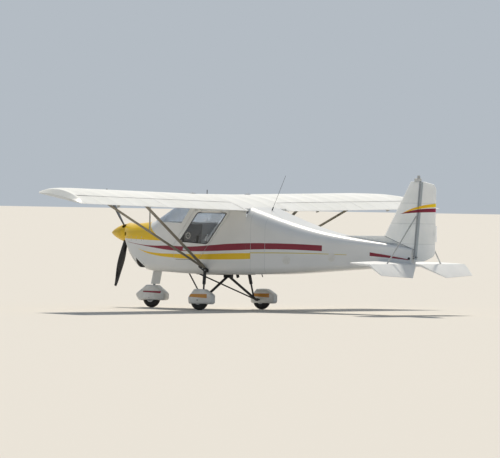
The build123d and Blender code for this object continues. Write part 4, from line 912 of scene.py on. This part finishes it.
def seatHard(side, sign):
    half, middle = seatSizes["shellWidth"] / 2, sign * seatSizes["middle"]
    shell, plinth, belts, buckle, button = (bmesh.new() for _ in range(5))
    bend, wall = seatSizes["bend"], seatSizes["shellWall"]
    stamp(shell, bentStrip(seatSizes["shell"], middle - half, middle + half, wall, bend), Matrix())
    for bm, name, edge, segments in (
        (plinth, "plinth", 0.008, 3), (buckle, "buckle", 0.005, 3), (button, "button", 0.002, 3)
    ):
        x, z = seatSizes[f"{name}Place"]
        stamp(bm, softBlock(seatSizes[name], edge, segments), moved(x, middle, z))
    half, wall = seatSizes["beltWidth"] / 2, seatSizes["beltThick"]
    for offset in seatSizes["strapOffsets"]:  # shoulder straps, over the top of the back and down to the buckle
        y = middle + offset
        stamp(belts, bentStrip(seatSizes["strap"], y - half, y + half, wall, seatSizes["strapBend"], 4), Matrix())
    x, z = seatSizes["lapPlace"]
    lap = bentStrip(seatSizes["lap"], -half, half, wall, seatSizes["lapBend"], 4)
    stamp(belts, lap, moved(x, middle, z) @ turnedBy(90, "Z") @ turnedBy(seatSizes["lapLean"], "X"))
    for bm, name, material, slotName in (
        (shell, "SeatShell", seatShell, "black_steel"), (plinth, "SeatPlinth", carpet, "tunnel_cloth"),
        (belts, "SeatBelts", webbing, "seat_cloth"), (buckle, "Buckle", brightSteel, "white_steel"),
        (button, "BuckleButton", redKnob, "black_steel"),
    ):
        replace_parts(finishPiece(bm, f"{side}{name}", material, "airframe"), "seats")


cushions("Base", seatSizes["base"], seatSizes["baseThick"], seatSizes["baseSeams"])
cushions("Back", seatSizes["back"], seatSizes["backThick"], seatSizes["backSeams"])
for side, sign in sides:
    seatHard(side, sign)
print("seats made")

# Instrument panel: dials with bezels, ticks and needles, two radio faces, a row of switches and the throttle
panelTrim = {
    "big": ((0.330, 1.235), (0.240, 1.235), (0.150, 1.235), (0.330, 1.145), (0.240, 1.145), (0.150, 1.145)),
    "small": ((-0.140, 1.250), (-0.205, 1.250), (-0.270, 1.250), (-0.140, 1.185), (-0.205, 1.185), (-0.270, 1.185)),
    "dials": (("big", 0.039, 0.9), ("small", 0.026, 1.7)),  # kind, radius and how far each needle turns on
    "bezel": ((0.82, 0.0015), (0.86, 0.0065), (0.97, 0.0075), (1.06, 0.0055), (1.10, -0.001), (0.80, -0.001)),
    "face": ((0, 0.0012), (0.84, 0.0012), (0.84, 0)), "hub": ((0, 0.0044), (0.08, 0.0042), (0.09, 0.0012)),
    "ticks": 12, "tick": (0.035, 0.16, 0.0008), "tickOut": 0.68, "tickUp": 0.0016,
    "needle": (0.05, 0.62, 0.0010), "needleOut": 0.24, "needleUp": 0.0026,
    "radios": ((0.0, 1.245), (0.0, 1.190)), "radioSize": (0.150, 0.042, 0.012), "radioPlace": (0, 0, 0.004),
    "screen": (0.062, 0.018, 0.002), "screenPlace": (0, 0.004, 0.0104),
    "radioKnob": ((0, 0.024), (0.007, 0.024), (0.0085, 0.022), (0.009, 0.009)), "knobX": (-0.060, 0.060),
    "switchZ": 1.075, "switchY": (-0.30, -0.25, -0.20, -0.15, -0.10, 0.10, 0.15, 0.20), "switchLean": 12,
    "switch": ((0, 0.020), (0.0026, 0.019), (0.0020, 0.004), (0.0055, 0.003), (0.0055, 0)),
    "lever": ((1.020, 0, 0.801), (1.062, 0, 0.930)), "leverRadius": 0.006,
    "quadrant": (0.150, 0.040, 0.006), "quadrantPlace": (1.040, 0, 0.8035), "leverKnobPlace": (1.066, 0, 0.942),
    "leverKnob": ((0, -0.020), (0.010, -0.019), (0.017, -0.008), (0.018, 0.004), (0.012, 0.015), (0, 0.018)),
}


def panelPlace(y, z):  # a frame on the panel's face, with its Z axis pointing aft
    place, normal = onSurface("instrument_panel", (1.0, y, z), (1, 0, 0))
    across = Vector((0, -1, 0))
    return Matrix.Translation(place) @ Matrix((across, normal.cross(across), normal)).transposed().to_4x4()


def dials(bezels, faces, marks):
    for kind, radius, onward in panelTrim["dials"]:
        bezel = turned(panelTrim["bezel"], 32, ring=True, size=radius)
        disc = turned(panelTrim["face"], 32, size=radius)
        (tickWide, tickLong, tickHigh), (wide, long, high) = panelTrim["tick"], panelTrim["needle"]
        tick = softBlock((radius * tickWide, radius * tickLong, tickHigh), 0.0002, 1)
        needle = softBlock((radius * wide, radius * long, high), 0.0003, 1)
        tickPlace = moved(0, radius * panelTrim["tickOut"], panelTrim["tickUp"])
        needlePlace = moved(0, radius * panelTrim["needleOut"], panelTrim["needleUp"])
        for index, (y, z) in enumerate(panelTrim[kind]):
            here = panelPlace(y, z)
            stamp(bezels, bezel, here)
            stamp(faces, disc, here)
            for step in range(panelTrim["ticks"]):
                stamp(marks, tick, here @ Matrix.Rotation(math.tau * step / panelTrim["ticks"], 4, "Z") @ tickPlace)
            stamp(marks, needle, here @ Matrix.Rotation(onward * (index + 1), 4, "Z") @ needlePlace)
            stamp(bezels, turned(panelTrim["hub"], 12, size=radius), here)


def instruments():
    bezels, faces, marks = bmesh.new(), bmesh.new(), bmesh.new()
    dials(bezels, faces, marks)
    for y, z in panelTrim["radios"]:
        here = panelPlace(y, z)
        stamp(bezels, softBlock(panelTrim["radioSize"], 0.002), here @ moved(*panelTrim["radioPlace"]))
        stamp(faces, softBlock(panelTrim["screen"], 0.0006), here @ moved(*panelTrim["screenPlace"]))
        for x in panelTrim["knobX"]:
            stamp(bezels, turned(panelTrim["radioKnob"], 18), here @ moved(x, 0, 0))
    lean = turnedBy(panelTrim["switchLean"], "X")
    for y in panelTrim["switchY"]:
        stamp(marks, turned(panelTrim["switch"], 12), panelPlace(y, panelTrim["switchZ"]) @ lean)
    finishPiece(bezels, "instrumentBezels", blackSteel, "airframe")
    finishPiece(faces, "instrumentFaces", dialFace, "airframe")
    finishPiece(marks, "instrumentMarks", dialWhite, "airframe")


def throttle():
    bm = bmesh.new()
    bar(bm, *panelTrim["lever"], panelTrim["leverRadius"])
    stamp(bm, softBlock(panelTrim["quadrant"], 0.0025, 3), moved(*panelTrim["quadrantPlace"]))
    finishPiece(bm, "throttleLever", brightSteel, "airframe")
    bm = bmesh.new()
    stamp(bm, turned(panelTrim["leverKnob"], 24), moved(*panelTrim["leverKnobPlace"]))
    finishPiece(bm, "throttleKnob", redKnob, "airframe")


instruments()
throttle()
print("cabin trim made")

# Camera, floor and light
view = {
    "position": (-46.8324, 64.8574, 1.7007), "forward": (0.588668, -0.808357, -0.005449),
    "up": (0.016167, 0.005033, 0.999857), "lens": 372.1, "sensor": 36.0, "clip": (1.0, 2000.0),
    "floorHex": "CFCBC3", "floorHalf": 700.0, "backHex": "B4BCC4", "skyHex": "CFDDEF", "skyStrength": 0.44,
    "sunHex": "FFF6E8", "sunStrength": 3.7, "sunSoftness": 5.0, "sunFrom": (0.45, -0.55, 1.0),
}


def aimCamera():
    camera = bpy.data.objects.new("photoCamera", bpy.data.cameras.new("photoCamera"))
    bpy.context.scene.collection.objects.link(camera)
    camera.data.sensor_width = view["sensor"]
    camera.data.lens = view["lens"]
    camera.data.clip_start, camera.data.clip_end = view["clip"]
    forward = Vector(view["forward"]).normalized()
    across = forward.cross(Vector(view["up"])).normalized()
    up = across.cross(forward).normalized()
    turn = Matrix((across, up, -forward)).transposed().to_4x4()
    camera.matrix_world = Matrix.Translation(Vector(view["position"])) @ turn
    bpy.context.scene.camera = camera


def layFloor():
    bm = bmesh.new()
    bmesh.ops.create_grid(bm, x_segments=2, y_segments=2, size=view["floorHalf"])
    mesh = toMesh(bm, "paleFloor")
    floor = bpy.data.objects.new("paleFloor", mesh)
    bpy.context.scene.collection.objects.link(floor)
    material, shader = startMaterial("paleFloor", roughness=0.9)[::2]
    shader.inputs["Base Color"].default_value = linear(view["floorHex"])
    mesh.materials.append(material)


def skyAndSun():  # a soft sky that lights the scene, a plain backdrop where it is seen, and a low-contrast sun
    world = bpy.data.worlds.new("softStudio")
    bpy.context.scene.world = world
    world.use_nodes = True
    tree = world.node_tree
    tree.nodes.clear()
    ray = addNode(tree, "ShaderNodeLightPath").outputs
    sky = {"Color": linear(view["skyHex"]), "Strength": view["skyStrength"]}
    light = addNode(tree, "ShaderNodeBackground", sky)
    shown = addNode(tree, "ShaderNodeBackground", {"Color": linear(view["backHex"]), "Strength": 1.0})
    mirrored = maths(tree, "MAXIMUM", ray["Is Glossy Ray"], ray["Is Transmission Ray"])
    seen = maths(tree, "MAXIMUM", ray["Is Camera Ray"], mirrored)
    both = addNode(tree, "ShaderNodeMixShader", {0: seen, 1: light.outputs[0], 2: shown.outputs[0]})
    addNode(tree, "ShaderNodeOutputWorld", {"Surface": both.outputs[0]})
    lamp = bpy.data.objects.new("softSun", bpy.data.lights.new("softSun", "SUN"))
    bpy.context.scene.collection.objects.link(lamp)
    lamp.data.energy = view["sunStrength"]
    lamp.data.angle = math.radians(view["sunSoftness"])
    lamp.data.color = linear(view["sunHex"])[:3]
    lamp.matrix_world = Vector(view["sunFrom"]).to_track_quat("Z", "Y").to_matrix().to_4x4()


aimCamera()
layFloor()
skyAndSun()
bpy.context.scene.view_settings.view_transform = "Standard"
print("camera, floor and light set")
